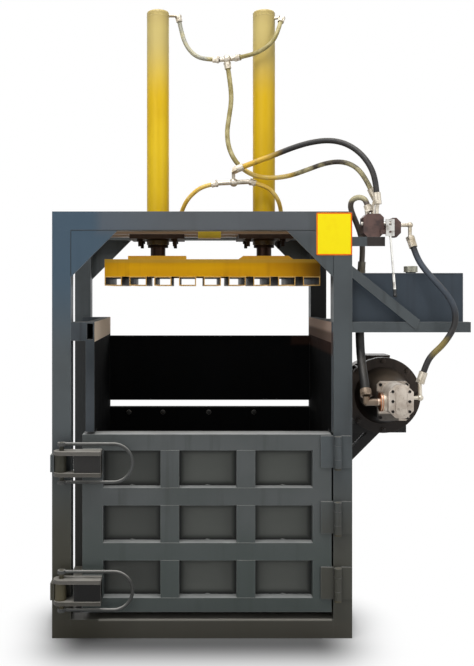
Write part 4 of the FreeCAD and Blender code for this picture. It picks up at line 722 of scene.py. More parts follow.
# ---------- hoses
@dataclass(frozen=True)
class Hose:
    """A hose that goes from a fitting back into the machine."""

    node: str
    diameter: float
    length: float
    tone: Tone
    points: tuple[Point, ...]
    long_collars: tuple[int, ...] = ()
    stiffness: str = "stiff"
    steps_round: int = 5
    steps_along: int = 10

    def model(self) -> bpy.types.Object:
        """Draw the hose as a smooth spline through its own control points.

        Returns:
            The curve, dressed.
        """
        curve = bpy.data.curves.new(f"{self.node}_curve", "CURVE")
        curve.dimensions = "3D"
        curve.bevel_depth = self.diameter / 2
        curve.bevel_resolution = self.steps_round
        curve.resolution_u = self.steps_along
        curve.use_fill_caps = True
        spline = curve.splines.new("NURBS")
        spline.points.add(len(self.points) - 1)
        for control, place in zip(spline.points, self.points):
            control.co = (*place, 1.0)
        spline.order_u = 3
        spline.use_endpoint_u = True
        piece = bpy.data.objects.new(f"{self.node}_line", curve)
        bpy.context.scene.collection.objects.link(piece)
        dress(piece, self.tone.material)
        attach(piece, "frame")
        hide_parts(self.node)
        return piece


HOSES: tuple[Hose, ...] = (
    Hose("hose_cap_left", 0.02, 0.275, Tone.HOSE_PAINTED, (
        (-0.149, 0, 2.751), (-0.135, -0.002, 2.684), (-0.115, -0.008, 2.633), (-0.081, -0.018, 2.59),
        (-0.038, -0.03, 2.568), (0.008, -0.04, 2.563))),
    Hose("hose_cap_right", 0.02, 0.288, Tone.HOSE_PAINTED, (
        (0.137, -0.04, 2.574), (0.18, -0.062, 2.578), (0.225, -0.082, 2.589), (0.268, -0.088, 2.617),
        (0.303, -0.075, 2.663), (0.324, -0.047, 2.735))),
    Hose("hose_cap_feed", 0.022, 1.183, Tone.HOSE_PAINTED, (
        (0.079, -0.04, 2.519), (0.09, -0.044, 2.448), (0.095, -0.052, 2.367), (0.082, -0.062, 2.285),
        (0.072, -0.072, 2.214), (0.08, -0.082, 2.143), (0.109, -0.092, 2.079), (0.157, -0.102, 2.031),
        (0.218, -0.11, 2.003), (0.291, -0.118, 1.998), (0.363, -0.13, 2.008), (0.438, -0.15, 2.033),
        (0.509, -0.19, 2.056), (0.573, -0.24, 2.058), (0.625, -0.288, 2.031), (0.663, -0.316, 1.98),
        (0.687, -0.326, 1.925)), long_collars=(1,)),
    Hose("hose_rod_left", 0.02, 0.228, Tone.HOSE_GOLD, (
        (0, -0.096, 1.971), (-0.034, -0.093, 1.964), (-0.069, -0.084, 1.945), (-0.104, -0.067, 1.914),
        (-0.13, -0.044, 1.874), (-0.145, -0.02, 1.832))),
    Hose("hose_rod_right", 0.02, 0.256, Tone.HOSE_GOLD, (
        (0.205, -0.1, 1.976), (0.251, -0.104, 1.962), (0.288, -0.098, 1.932), (0.315, -0.074, 1.893),
        (0.328, -0.04, 1.845), (0.331, -0.014, 1.805))),
    Hose("hose_rod_feed", 0.025, 0.773, Tone.HOSE_DARK, (
        (0.703, -0.376, 1.902), (0.699, -0.37, 1.963), (0.677, -0.35, 2.03), (0.638, -0.318, 2.089),
        (0.584, -0.28, 2.132), (0.52, -0.24, 2.152), (0.444, -0.206, 2.148), (0.366, -0.182, 2.128),
        (0.287, -0.164, 2.098), (0.206, -0.15, 2.07), (0.145, -0.138, 2.048)), long_collars=(0, 1)),
    Hose("hose_return", 0.024, 0.371, Tone.HOSE_RETURN, (
        (0.656, -0.292, 1.609), (0.659, -0.292, 1.652), (0.657, -0.292, 1.7), (0.643, -0.293, 1.751),
        (0.624, -0.297, 1.795), (0.609, -0.303, 1.828), (0.602, -0.311, 1.853), (0.606, -0.321, 1.874),
        (0.623, -0.332, 1.886), (0.645, -0.343, 1.886), (0.662, -0.352, 1.872), (0.667, -0.357, 1.85)),
         long_collars=(0,)),
    Hose("hose_pressure", 0.026, 0.628, Tone.HOSE_DARK, (
        (0.862, -0.372, 1.668), (0.873, -0.388, 1.622), (0.901, -0.412, 1.57), (0.937, -0.436, 1.523),
        (0.974, -0.452, 1.477), (1.003, -0.457, 1.433), (1.019, -0.457, 1.382), (1.013, -0.457, 1.33),
        (0.985, -0.457, 1.282), (0.957, -0.453, 1.246), (0.925, -0.45, 1.217), (0.9, -0.45, 1.184),
        (0.885, -0.45, 1.14)), long_collars=(0, 1)),
    Hose("hose_suction", 0.038, 0.281, Tone.HOSE_DARK, (
        (0.641, -0.32, 1.313), (0.641, -0.327, 1.26), (0.64, -0.35, 1.203), (0.64, -0.385, 1.151),
        (0.641, -0.42, 1.108), (0.642, -0.444, 1.066))),
)


# ---------- modelling moves
def clear_selection() -> None:
    """Leave edit mode and deselect everything."""
    if bpy.context.object is not None and bpy.context.object.mode != "OBJECT":
        bpy.ops.object.mode_set(mode="OBJECT")
    bpy.ops.object.select_all(action="DESELECT")


class Workpiece:
    """A mesh under work: it starts as a primitive in place, is shaped by edit tools and then finished."""

    def __init__(self, name: str) -> None:
        """Take over the primitive that was just added.

        Args:
            name: The piece's name.
        """
        self.piece: bpy.types.Object = bpy.context.object
        self.piece.name = name
        self.piece.data.name = f"{name}_mesh"
        bpy.ops.object.transform_apply(location=True, rotation=True, scale=True)

    @classmethod
    def block(cls, name: str, low: Point, high: Point) -> Workpiece:
        """Start from a box.

        Args:
            name: The piece's name.
            low: One corner.
            high: The other corner.

        Returns:
            The workpiece.
        """
        clear_selection()
        middle = [(a + b) / 2 for a, b in zip(low, high)]
        size = [b - a for a, b in zip(low, high)]
        bpy.ops.mesh.primitive_cube_add(size=1.0, location=middle, scale=size)
        return cls(name)

    @classmethod
    def disc(cls, name: str, start: Point, end: Point, radius: float, sides: int = 24) -> Workpiece:
        """Start from a round or many-sided bar.

        Args:
            name: The piece's name.
            start: The middle of one end.
            end: The middle of the other end.
            radius: Its radius over the corners.
            sides: How many sides it has.

        Returns:
            The workpiece.
        """
        clear_selection()
        first, last = Vector(start), Vector(end)
        turn = (last - first).to_track_quat("Z", "Y").to_euler()
        bpy.ops.mesh.primitive_cylinder_add(vertices=sides, radius=radius, depth=(last - first).length,
                                            location=(first + last) / 2, rotation=turn)
        return cls(name)

    @classmethod
    def ring(cls, name: str, centre: Point, radius: float, thickness: float) -> Workpiece:
        """Start from a round bar bent to a level ring.

        Args:
            name: The piece's name.
            centre: The ring's middle.
            radius: The ring's radius.
            thickness: The bar's radius.

        Returns:
            The workpiece.
        """
        clear_selection()
        bpy.ops.mesh.primitive_torus_add(major_radius=radius, minor_radius=thickness, major_segments=40,
                                         minor_segments=8, location=centre)
        return cls(name)

    @classmethod
    def nugget(cls, name: str, centre: Point, radius: float) -> Workpiece:
        """Start from a ball.

        Args:
            name: The piece's name.
            centre: Its middle.
            radius: Its radius.

        Returns:
            The workpiece.
        """
        clear_selection()
        bpy.ops.mesh.primitive_ico_sphere_add(subdivisions=3, radius=radius, location=centre)
        return cls(name)

    def leave(self) -> None:
        """Go back to object mode with only this piece selected."""
        clear_selection()
        self.piece.select_set(True)
        bpy.context.view_layer.objects.active = self.piece

    def _pick(self, kind: str, test: Callable[[object], bool]) -> Workpiece:
        """Select the elements of a kind that pass a test, in edit mode.

        Args:
            kind: The mesh's name for them.
            test: Tells which are selected.

        Returns:
            The workpiece.
        """
        self.leave()
        mesh = self.piece.data
        for elements in (mesh.vertices, mesh.edges, mesh.polygons):
            elements.foreach_set("select", [False] * len(elements))
        for element in getattr(mesh, kind):
            element.select = bool(test(element))
        bpy.context.tool_settings.mesh_select_mode = (False, kind == "edges", kind == "polygons")
        bpy.ops.object.mode_set(mode="EDIT")
        return self

    def faces(self, test: Callable[[Vector, Vector], bool] = lambda centre, normal: True) -> Workpiece:
        """Select the faces whose centre and normal pass a test, or all."""
        return self._pick("polygons", lambda face: test(face.center, face.normal))

    def edges(self, test: Callable[[Vector, Vector], bool]) -> Workpiece:
        """Select the edges that pass a test.

        Args:
            test: Tells it from an edge's middle and direction.

        Returns:
            The workpiece.
        """
        def passes(edge: bpy.types.MeshEdge) -> bool:
            """Put an edge to the test."""
            first, last = (self.piece.data.vertices[index].co for index in edge.vertices)
            return test((first + last) / 2, (last - first).normalized())

        return self._pick("edges", passes)

    def inset(self, width: float, depth: float = 0.0, apart: bool = False) -> Workpiece:
        """Inset the selected faces."""
        bpy.ops.mesh.inset(thickness=width, depth=depth, use_individual=apart)
        return self

    def extrude(self, offset: Point) -> Workpiece:
        """Extrude the selected faces along an offset."""
        bpy.ops.mesh.extrude_region_move(TRANSFORM_OT_translate={"value": offset})
        return self

    def swell(self, factor: Point) -> Workpiece:
        """Scale the selection about its middle."""
        bpy.ops.transform.resize(value=factor)
        return self

    def cut(self, place: Point, normal: Point) -> Workpiece:
        """Cut all faces in two by a plane.

        Args:
            place: A point of the plane.
            normal: Its normal.

        Returns:
            The workpiece.
        """
        self.faces()
        bpy.ops.mesh.bisect(plane_co=place, plane_no=normal)
        return self

    def round_corners(self, axis: str, width: float, segments: int) -> Workpiece:
        """Bevel the edges that run along an axis.

        Args:
            axis: The axis's letter.
            width: How far the bevel reaches.
            segments: Its steps.

        Returns:
            The workpiece.
        """
        self.edges(lambda middle, along: abs(getattr(along, axis)) > ALIKE)
        bpy.ops.mesh.bevel(offset=width, segments=segments, affect="EDGES")
        return self

    def round_off(self, width: float, segments: int = 2, angle: float = 40.0) -> Workpiece:
        """Round all sharp edges with a bevel modifier that is applied.

        Args:
            width: How far the rounding reaches.
            segments: Its steps.
            angle: Edges sharper than this are rounded, in degrees.

        Returns:
            The workpiece.
        """
        self.leave()
        tool = self.piece.modifiers.new("round_off", "BEVEL")
        tool.width = width
        tool.segments = segments
        tool.limit_method = "ANGLE"
        tool.angle_limit = math.radians(angle)
        bpy.ops.object.modifier_apply(modifier=tool.name)
        return self

    def spread(self, places: Sequence[Point]) -> Workpiece:
        """Copy the piece to other places, each copy with its own mesh, and join them.

        Args:
            places: The place it is at, then the others.

        Returns:
            The workpiece.
        """
        self.leave()
        first = Vector(places[0])
        twins = []
        for place in places[1:]:
            twin = self.piece.copy()
            twin.data = self.piece.data.copy()
            twin.data.transform(Matrix.Translation(Vector(place) - first))
            bpy.context.scene.collection.objects.link(twin)
            twins.append(twin)
        for twin in twins:
            twin.select_set(True)
        bpy.ops.object.join()
        return self

    def join(self, *others: Workpiece) -> Workpiece:
        """Join other workpieces to this one.

        Args:
            *others: The others.

        Returns:
            The workpiece.
        """
        self.leave()
        for other in others:
            other.piece.select_set(True)
        bpy.ops.object.join()
        return self

    def finish(self, material: bpy.types.Material, body: str, slot: str, *replaced: str,
               angle: float = 35.0) -> None:
        """Args:
            material: Its finish.
            body: The body it moves with.
            slot: The name of its material slot; not used.
            *replaced: CAD nodes it stands for.
            angle: Edges flatter than this are smooth, in degrees.
        """
        self.leave()
        bpy.ops.object.shade_smooth_by_angle(angle=math.radians(angle))
        dress(self.piece, material)
        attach(self.piece, body)
        if replaced:
            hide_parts(*replaced)
        LOG.info("piece: %s, %d faces", self.piece.name, len(self.piece.data.polygons))


@dataclass(frozen=True)
class Head:
    """A screw or bolt head that stands out to the front."""

    width: float
    height: float

    def shape(self, name: str, seat: Vector) -> Workpiece:
        """Model the head on the middle of its seat."""
        raise NotImplementedError

    def row(self, name: str, places: Sequence[Point]) -> Workpiece:
        """Model a head on each place, all in one piece."""
        return self.shape(name, Vector(places[0])).spread(places)


@dataclass(frozen=True)
class HexBolt(Head):
    """A six-sided bolt head with a raised crown, on a washer, all in shares of its width or height."""

    washer_radius: float = 0.68
    washer_height: float = 0.2
    washer_edge: float = 0.05
    crown_rim: float = 0.07
    crown_rise: float = 0.08

    def shape(self, name: str, seat: Vector) -> Workpiece:
        """Model the head on its washer.

        Args:
            name: The piece's name.
            seat: The middle of its seat.

        Returns:
            The workpiece.
        """
        shoulder = seat + FRONT * self.height * self.washer_height
        washer = Workpiece.disc(f"{name}_washer", seat, shoulder, self.width * self.washer_radius)
        washer.round_off(self.height * self.washer_edge, segments=1)
        head = Workpiece.disc(name, shoulder, seat + FRONT * self.height, self.width / math.sqrt(3), sides=6)
        head.faces(lambda centre, normal: normal.dot(FRONT) > ALIKE)
        return head.inset(self.width * self.crown_rim, self.height * self.crown_rise).join(washer)


@dataclass(frozen=True)
class SocketScrew(Head):
    """A round screw head with a deep socket, all in shares of its width or height."""

    rim: float = 0.175
    socket: float = 0.7
    edge: float = 0.04

    def shape(self, name: str, seat: Vector) -> Workpiece:
        """Model the head and sink its socket.

        Args:
            name: The piece's name.
            seat: The middle of its seat.

        Returns:
            The workpiece.
        """
        head = Workpiece.disc(name, seat, seat + FRONT * self.height, self.width / 2, sides=18)
        head.faces(lambda centre, normal: normal.dot(FRONT) > ALIKE)
        head.inset(self.width * self.rim).extrude(tuple(-FRONT * self.height * self.socket))
        return head.round_off(self.width * self.edge, segments=1, angle=50.0)


@dataclass(frozen=True)
class WeldBead:
    """A rippled weld bead: half its width, the rest in shares of that, and how many sides it has."""

    radius: float
    ripple: float = 0.2
    pitch: float = 3.0
    sides: int = 8
    merge: float = 0.05

    def along(self, name: str, start: Point, end: Point) -> Workpiece:
        """Model a bead from one ripple that is repeated along a joint.

        Args:
            name: The piece's name.
            start: Where it starts.
            end: Where it ends.

        Returns:
            The workpiece.
        """
        first, last = Vector(start), Vector(end)
        span = (last - first).length
        count = max(2, round(span / (self.radius * self.pitch)))
        step = span / count
        bead = Workpiece.disc(name, (0, 0, 0), (0, 0, step), self.radius * (1 - self.ripple), self.sides)
        bead.cut((0, 0, step / 2), (0, 0, 1))
        bead.edges(lambda middle, along: abs(middle.z - step / 2) < self.radius * self.merge)
        bead.swell((1 + self.ripple * 2, 1 + self.ripple * 2, 1))
        bead.faces(lambda centre, normal: abs(normal.z) > ALIKE)
        bpy.ops.mesh.delete(type="FACE")
        bead.leave()
        row = bead.piece.modifiers.new("row", "ARRAY")
        row.count = count
        row.use_relative_offset = False
        row.use_constant_offset = True
        row.constant_offset_displace = (0, 0, step)
        row.use_merge_vertices = True
        row.merge_threshold = self.radius * self.merge
        bpy.ops.object.modifier_apply(modifier=row.name)
        bead.faces()
        bpy.ops.mesh.fill_holes(sides=self.sides)
        bead.leave()
        turn = (last - first).to_track_quat("Z", "Y").to_matrix().to_4x4()
        bead.piece.data.transform(Matrix.Translation(first) @ turn)
        return bead

    def weld(self, name: str, runs: Iterable[Run]) -> Workpiece:
        """Model a bead on each run, all in one piece."""
        beads = [self.along(name, start, end) for start, end in runs]
        return beads[0].join(*beads[1:])


def level_runs(span: Span, front: float, levels: Iterable[float]) -> list[Run]:
    """Give the runs from the left to the right end of a span, one at each level."""
    left, right = span
    return [((left, front, level), (right, front, level)) for level in levels]


# ---------- sub-assemblies
@dataclass
class Portals:
    """The seams of beam, uprights and gussets, the tie under the beams, the sign and the end plates."""

    front: float = -0.400
    beam_low: float = 1.740
    sides: Span = (-0.606, 0.514)
    gusset_foot: float = 1.545
    seam: WeldBead = WeldBead(0.0015, 0.1)
    tie_low: Point = (-0.062, -0.150, 1.722)
    tie_high: Point = (0.043, -0.060, 1.7385)
    tie_lip: float = 0.0085
    tie_top: float = 1.760
    tie_edge: float = 0.0015
    sign_corner: float = 0.006
    sign_edge: float = 0.0004
    bore_front: Span = (-0.3948, 0.3252)
    bore_low: float = 1.7452
    bore_left: Span = (-0.6845, 0.5875)
    bore: float = 0.0696
    plug: float = 0.005
    plug_corner: float = 0.12
    plug_rim: float = 0.05
    plug_slope: float = 0.02
    plug_dish: float = 0.2

    def seams(self) -> None:
        """Lay the thin filler lines where gussets and uprights meet the beam."""
        corners = [(side, self.front, self.beam_low) for side in self.sides]
        runs = [tuple(corners)] + [(corner, (corner[0], self.front, self.gusset_foot)) for corner in corners]
        self.seam.weld("portal_seams", runs).finish(Tone.RULE.material, "frame", "frame_paint")

    def tie(self) -> None:
        """Bend a short angle clip under the front edge of the beams."""
        clip = Workpiece.block("beam_tie", self.tie_low, self.tie_high)
        bend = self.tie_low[1] + self.tie_lip
        clip.cut((0, bend, 0), (0, 1, 0))
        clip.faces(lambda centre, normal: normal.z > ALIKE and centre.y < bend)
        clip.extrude((0, 0, self.tie_top - self.tie_high[2]))
        clip.round_off(self.tie_edge).finish(Tone.TIE.material, "frame", "frame_paint")

    def sign(self) -> None:
        """Cut the sign's plate with round corners and a fine edge."""
        low, high = (tuple(corner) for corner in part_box("sign_plate"))
        plate = Workpiece.block("sign", low, high)
        plate.round_corners("y", self.sign_corner, segments=4).round_off(self.sign_edge, segments=1)
        plate.finish(SignEnamel("sign_enamel", low, high).material(), "frame", "sign_paint", "sign_plate")

    def end_plates(self) -> None:
        """Close the open ends of the front and rear beams with dished plates."""
        plates = []
        for left in self.bore_left:
            for front in self.bore_front:
                high = (left + self.plug, front + self.bore, self.bore_low + self.bore)
                plate = Workpiece.block("beam_end_plates", (left, front, self.bore_low), high)
                plate.round_corners("x", self.bore * self.plug_corner, segments=3)
                plate.faces(lambda centre, normal: abs(normal.x) > ALIKE)
                plate.inset(self.bore * self.plug_rim)
                plates.append(plate.inset(self.bore * self.plug_slope, -self.plug * self.plug_dish))
        plates[0].join(*plates[1:]).finish(Tone.FRAME.material, "frame", "frame_paint")

    def build(self) -> None:
        """Build all of it."""
        self.seams()
        self.tie()
        self.sign()
        self.end_plates()


@dataclass
class Door:
    """Weld tacks in the pockets, joint lines on the grid and beads on the hinge leaves."""

    face: float = -0.400
    skin: float = -0.350
    columns: tuple[float, ...] = (-0.346, -0.0215, 0.303)
    ledges: tuple[float, ...] = (0.172, 0.4065, 0.641)
    lintels: tuple[float, ...] = (0.332, 0.5665, 0.801)
    stiles: tuple[Span, ...] = ((-0.2235, -0.144), (0.101, 0.1805))
    leaf_tops: tuple[float, ...] = (0.304, 0.5835, 0.863)
    door_leaf: Span = (0.460, 0.512)
    frame_leaf: Span = (0.548, 0.589)
    tack: float = 0.011
    tack_size: Point = (1.0, 0.5, 0.42)
    tail: Point = (1.25, 0.8, 0.7)
    tail_start: float = 0.3
    joint: WeldBead = WeldBead(0.0011, 0.15)
    bead: WeldBead = WeldBead(0.0016)

    def tacks(self) -> None:
        """Drop a weld tack on the middle of each pocket's ledge."""
        places = [(column, self.skin, ledge) for column in self.columns for ledge in self.ledges]
        tack = Workpiece.nugget("pocket_tacks", places[0], self.tack)
        tack.faces().swell(self.tack_size)
        tack.faces(lambda centre, normal: centre.x > self.columns[0] + self.tack * self.tail_start)
        tack.swell(self.tail).spread(places).finish(Tone.WELD.material, "door", "door_paint")

    def joint_lines(self) -> None:
        """Lay the ground-down weld lines where the stiles meet the rails."""
        levels = self.ledges + self.lintels
        runs = [run for span in self.stiles for run in level_runs(span, self.face, levels)]
        self.joint.weld("door_joints", runs).finish(Tone.WELD.material, "door", "door_paint")

    def hinge_beads(self) -> None:
        """Lay the beads along the upper edges of the hinge leaves."""
        for name, body, span in (("door_leaf_beads", "door", self.door_leaf),
                                 ("frame_leaf_beads", "frame", self.frame_leaf)):
            beads = self.bead.weld(name, level_runs(span, self.face, self.leaf_tops))
            beads.finish(Tone.WELD.material, body, "door_paint")

    def build(self) -> None:
        """Build all of it."""
        self.tacks()
        self.joint_lines()
        self.hinge_beads()


@dataclass
class Latches:
    """The beads that join the latch brackets to the door."""

    face: float = -0.400
    levels: tuple[float, ...] = (0.807, 0.701, 0.268, 0.162)
    arm: Span = (-0.554, -0.474)
    edge: Span = (-0.5905, -0.412)
    edge_spans: tuple[Span, ...] = ((0.722, 0.786), (0.183, 0.247))
    bead: WeldBead = WeldBead(0.003)
    rough: WeldBead = WeldBead(0.0038, 0.4)

    def build(self) -> None:
        """Lay a bead along each arm and a rough one down the edge of each plate."""
        arms = self.bead.weld("latch_beads", level_runs(self.arm, self.face, self.levels))
        runs = [((*self.edge, low), (*self.edge, high)) for low, high in self.edge_spans]
        arms.join(self.rough.weld("latch_edge_beads", runs)).finish(Tone.WELD.material, "door", "door_paint")


@dataclass
class Chamber:
    """The bolts that hold the rear wall's liner."""

    wall: float = 0.282
    level: float = 0.869
    columns: tuple[float, ...] = (-0.408, -0.237, -0.005, 0.222)
    bolt: HexBolt = HexBolt(0.019, 0.009)

    def build(self) -> None:
        """Set the row of bolts."""
        places = [(column, self.wall, self.level) for column in self.columns]
        self.bolt.row("liner_bolts", places).finish(Tone.LATCH.material, "frame", "chamber_paint")


@dataclass
class Cylinders:
    """Weld rings at the flanges and seams at the end caps of the two cylinders."""

    columns: tuple[tuple[str, float], ...] = (("left", -0.25), ("right", 0.25))
    radius: float = 0.0525
    underside: float = 1.720
    cap_seam: float = 2.772
    bead: float = 0.0035
    seam: float = 0.0009
    ripples: int = 12
    ripple_share: float = 0.12
    ripple_swell: Point = (1.004, 1.004, 1.0)
    seam_swell: Point = (1.0, 1.0, 1.6)

    def build(self) -> None:
        """Build the rings on both cylinders."""
        for side, column in self.columns:
            centre = (column, 0, self.underside)
            foot = Workpiece.ring(f"cylinder_weld_{side}", centre, self.radius, self.bead)
            foot.edges(lambda middle, along: abs(
                math.atan2(middle.y, middle.x - column) * self.ripples % 1 - 0.5) < self.ripple_share)
            foot.swell(self.ripple_swell).finish(Tone.DARK_STEEL.material, "frame", "cylinder_paint")
            centre = (column, 0, self.cap_seam)
            cap = Workpiece.ring(f"cylinder_cap_seam_{side}", centre, self.radius, self.seam)
            cap.faces().swell(self.seam_swell).finish(Tone.CYLINDER.material, "frame", "cylinder_paint")


@dataclass
class HoseEnds:
    """Crimped collars on the ends of the hoses."""

    wall: float = 0.0046
    long: float = 0.034
    short: float = 0.020
    sides: int = 20
    crimp: float = 0.0007

    def build(self) -> None:
        """Crimp a collar on each end of each hose."""
        collars = []
        for hose in HOSES:
            for at, (end, inner) in enumerate((hose.points[:2], hose.points[:-3:-1])):
                outward = (Vector(end) - Vector(inner)).normalized()
                tip = Vector(end) + outward * (self.long if at in hose.long_collars else self.short)
                collar = Workpiece.disc("hose_collars", end, tip, hose.diameter / 2 + self.wall, self.sides)
                collar.faces(lambda centre, normal: abs(normal.dot(outward)) < ACROSS)
                collars.append(collar.inset(self.crimp, -self.crimp, apart=True))
        collars[0].join(*collars[1:]).finish(Tone.FITTINGS.material, "frame", "fitting_metal")


@dataclass
class PowerPack:
    """The pump's cover and screws, the copper washers, the bell's bolts and the terminal box lid."""

    axis: float = 0.772
    cover_low: Point = (0.720, -0.5305, 0.957)
    cover_high: Point = (0.824, -0.508, 1.095)
    cover_corner: float = 0.030
    cover_edge: float = 0.0022
    boss: tuple[float, float, float] = (0.023, 0.967, 1.085)
    boss_front: float = -0.537
    boss_corner: float = 0.8
    boss_edge: float = 0.0015
    overlap: float = 0.001
    cover_screw: SocketScrew = SocketScrew(0.0124, 0.003)
    screw_columns: Span = (0.737, 0.807)
    screw_rows: tuple[float, ...] = (0.984, 1.026, 1.067)
    plate_screw: SocketScrew = SocketScrew(0.01426, 0.008)
    plate_front: float = -0.388
    plate_columns: Span = (0.716, 0.828)
    plate_rows: Span = (1.080, 0.940)
    bell_bolt: HexBolt = HexBolt(0.019, 0.011)
    bell_face: float = -0.186
    bell_level: float = 1.010
    bell_circle: float = 0.156
    bell_bolts: int = 8
    washers: tuple[Span, ...] = ((0.6975, 0.7005), (0.7060, 0.7090))
    washer_axis: Span = (-0.4585, 1.015)
    washer_radius: float = 0.0405
    washer_edge: float = 0.0006
    lid_low: Point = (0.711, -0.066, 1.174)
    lid_high: Point = (0.833, 0.056, 1.1815)
    lid_corner: float = 0.010
    lid_rim: float = 0.006
    lid_edge: float = 0.0012

    def cover(self) -> None:
        """Cut the cover with sloping corners and an upright round-ended boss."""
        plate = Workpiece.block("pump_front", self.cover_low, self.cover_high)
        plate.round_corners("y", self.cover_corner, segments=1).round_off(self.cover_edge)
        half, low, high = self.boss
        boss = Workpiece.block("pump_boss", (self.axis - half, self.boss_front, low),
                               (self.axis + half, self.cover_low[1] + self.overlap, high))
        boss.round_corners("y", half * self.boss_corner, segments=4).round_off(self.boss_edge)
        plate.join(boss).finish(Tone.PUMP.material, "frame", "pump_aluminium", "pump_cover")

    def screws(self) -> None:
        """Drive the screws of the cover and of the mounting plate."""
        for name, screw, seat, columns, rows in (
                ("pump_screws", self.cover_screw, self.cover_low[1], self.screw_columns, self.screw_rows),
                ("pump_plate_screws", self.plate_screw, self.plate_front, self.plate_columns,
                 self.plate_rows)):
            places = [(column, seat, level) for column in columns for level in rows]
            screw.row(name, places).finish(Tone.BLACK_OXIDE.material, "frame", "bright_steel")

    def bolts(self) -> None:
        """Set the ring of bolts that joins the bell to the motor."""
        turns = [2 * math.pi * count / self.bell_bolts for count in range(self.bell_bolts)]
        places = [(self.axis + self.bell_circle * math.cos(turn), self.bell_face,
                   self.bell_level + self.bell_circle * math.sin(turn)) for turn in turns]
        self.bell_bolt.row("bell_bolts", places).finish(Tone.MOTOR.material, "frame", "motor_paint")

    def copper(self) -> None:
        """Lay the copper washers beside the suction flange."""
        (left, right), *_ = self.washers
        washer = Workpiece.disc("suction_washers", (left, *self.washer_axis), (right, *self.washer_axis),
                                self.washer_radius, sides=36)
        washer.round_off(self.washer_edge, segments=1)
        washer.spread([(start, *self.washer_axis) for start, _ in self.washers])
        washer.finish(Tone.COPPER.material, "frame", "fitting_metal")

    def lid(self) -> None:
        """Close the terminal box with a lid whose middle is sunk."""
        lid = Workpiece.block("terminal_lid", self.lid_low, self.lid_high)
        lid.round_corners("z", self.lid_corner, segments=3)
        lid.faces(lambda centre, normal: normal.z > ALIKE)
        lid.inset(self.lid_rim, -self.lid_edge)
        lid.round_off(self.lid_edge).finish(Tone.MOTOR.material, "frame", "motor_paint")

    def build(self) -> None:
        """Build all of it."""
        self.cover()
        self.screws()
        self.bolts()
        self.copper()
        self.lid()


@dataclass
class Tank:
    """The knurled filler cap and the beads on the tank's edges."""

    centre: Span = (0.870, -0.292)
    radius: float = 0.0290
    low: float = 1.5630
    high: float = 1.5885
    rows: tuple[float, ...] = (1.5694, 1.5758, 1.5822)
    sides: int = 32
    knurl: float = 0.0009
    knurl_slope: float = 0.6
    crown: tuple[Span, ...] = ((0.005, 0.0015), (0.010, -0.001))
    box_low: Point = (0.600, -0.362, 1.348)
    box_high: Point = (1.076, 0.038, 1.556)
    bead: WeldBead = WeldBead(0.0022)

    def _raised(self, middle: Vector, normal: Vector) -> bool:
        """Tell whether a face is one of the raised squares of the knurl.

        Args:
            middle: The face's middle.
            normal: Its normal.

        Returns:
            Whether it is.
        """
        if abs(normal.z) > ACROSS:
            return False
        x, y = self.centre
        turn = math.atan2(middle.y - y, middle.x - x) / (2 * math.pi) * self.sides
        return (math.floor(turn) + sum(middle.z > level for level in self.rows)) % 2 == 0

    def cap(self) -> None:
        """Turn the cap, knurl it in squares and raise its crown."""
        cap = Workpiece.disc("filler_knob", (*self.centre, self.low), (*self.centre, self.high), self.radius,
                             self.sides)
        for level in self.rows:
            cap.cut((0, 0, level), (0, 0, 1))
        cap.faces(self._raised).inset(self.knurl * self.knurl_slope, self.knurl, apart=True)
        cap.faces(lambda middle, normal: normal.z > ALIKE)
        for width, rise in self.crown:
            cap.inset(width, rise)
        cap.finish(Tone.CAP.material, "oil_cap", "cap_metal", "filler_cap", angle=25.0)

    def beads(self) -> None:
        """Weld the tank's upper and upright edges."""
        left, front, foot = self.box_low
        right, back, top = self.box_high
        near, far, corner = (right, front, top), (right, back, top), (right, front, foot)
        runs = [((left, front, top), near), ((left, back, top), far), (near, far), (corner, near)]
        self.bead.weld("tank_beads", runs).finish(Tone.TANK.material, "frame", "tank_paint")

    def build(self) -> None:
        """Build all of it."""
        self.cap()
        self.beads()


# ---------- studio
@dataclass(frozen=True)
class SoftPanel:
    """A large square lamp aimed at a point."""

    name: str
    place: Point
    target: Point
    size: float
    watts: float

    def build(self) -> None:
        """Add the lamp."""
        lamp = bpy.data.lights.new(self.name, "AREA")
        lamp.shape = "SQUARE"
        lamp.size = self.size
        lamp.energy = self.watts
        holder = bpy.data.objects.new(self.name, lamp)
        holder.location = self.place
        holder.rotation_mode = "QUATERNION"
        holder.rotation_quaternion = (Vector(self.target) - Vector(self.place)).to_track_quat("-Z", "Y")
        bpy.context.scene.collection.objects.link(holder)


@dataclass(frozen=True)
class FloorShade:
    """A patch of the floor about the machine's foot that loses the floor's glow; the floor darkens the first
    such patch as a painted shadow.
    """

    centre: Point
    half: Point
    reach: Point

    def build(self, net: Net) -> Pin:
        """Give 0 inside the patch and 1 from its reach outwards.

        Args:
            net: The floor's net.

        Returns:
            The number's socket.
        """
        away = net.vector("ABSOLUTE", net.vector("SUBTRACT", net.place(), self.centre))
        outside = net.vector("MAXIMUM", net.vector("SUBTRACT", away, self.half), (0.0, 0.0, 0.0))
        return net.smooth(net.vector("LENGTH", net.vector("DIVIDE", outside, self.reach)))


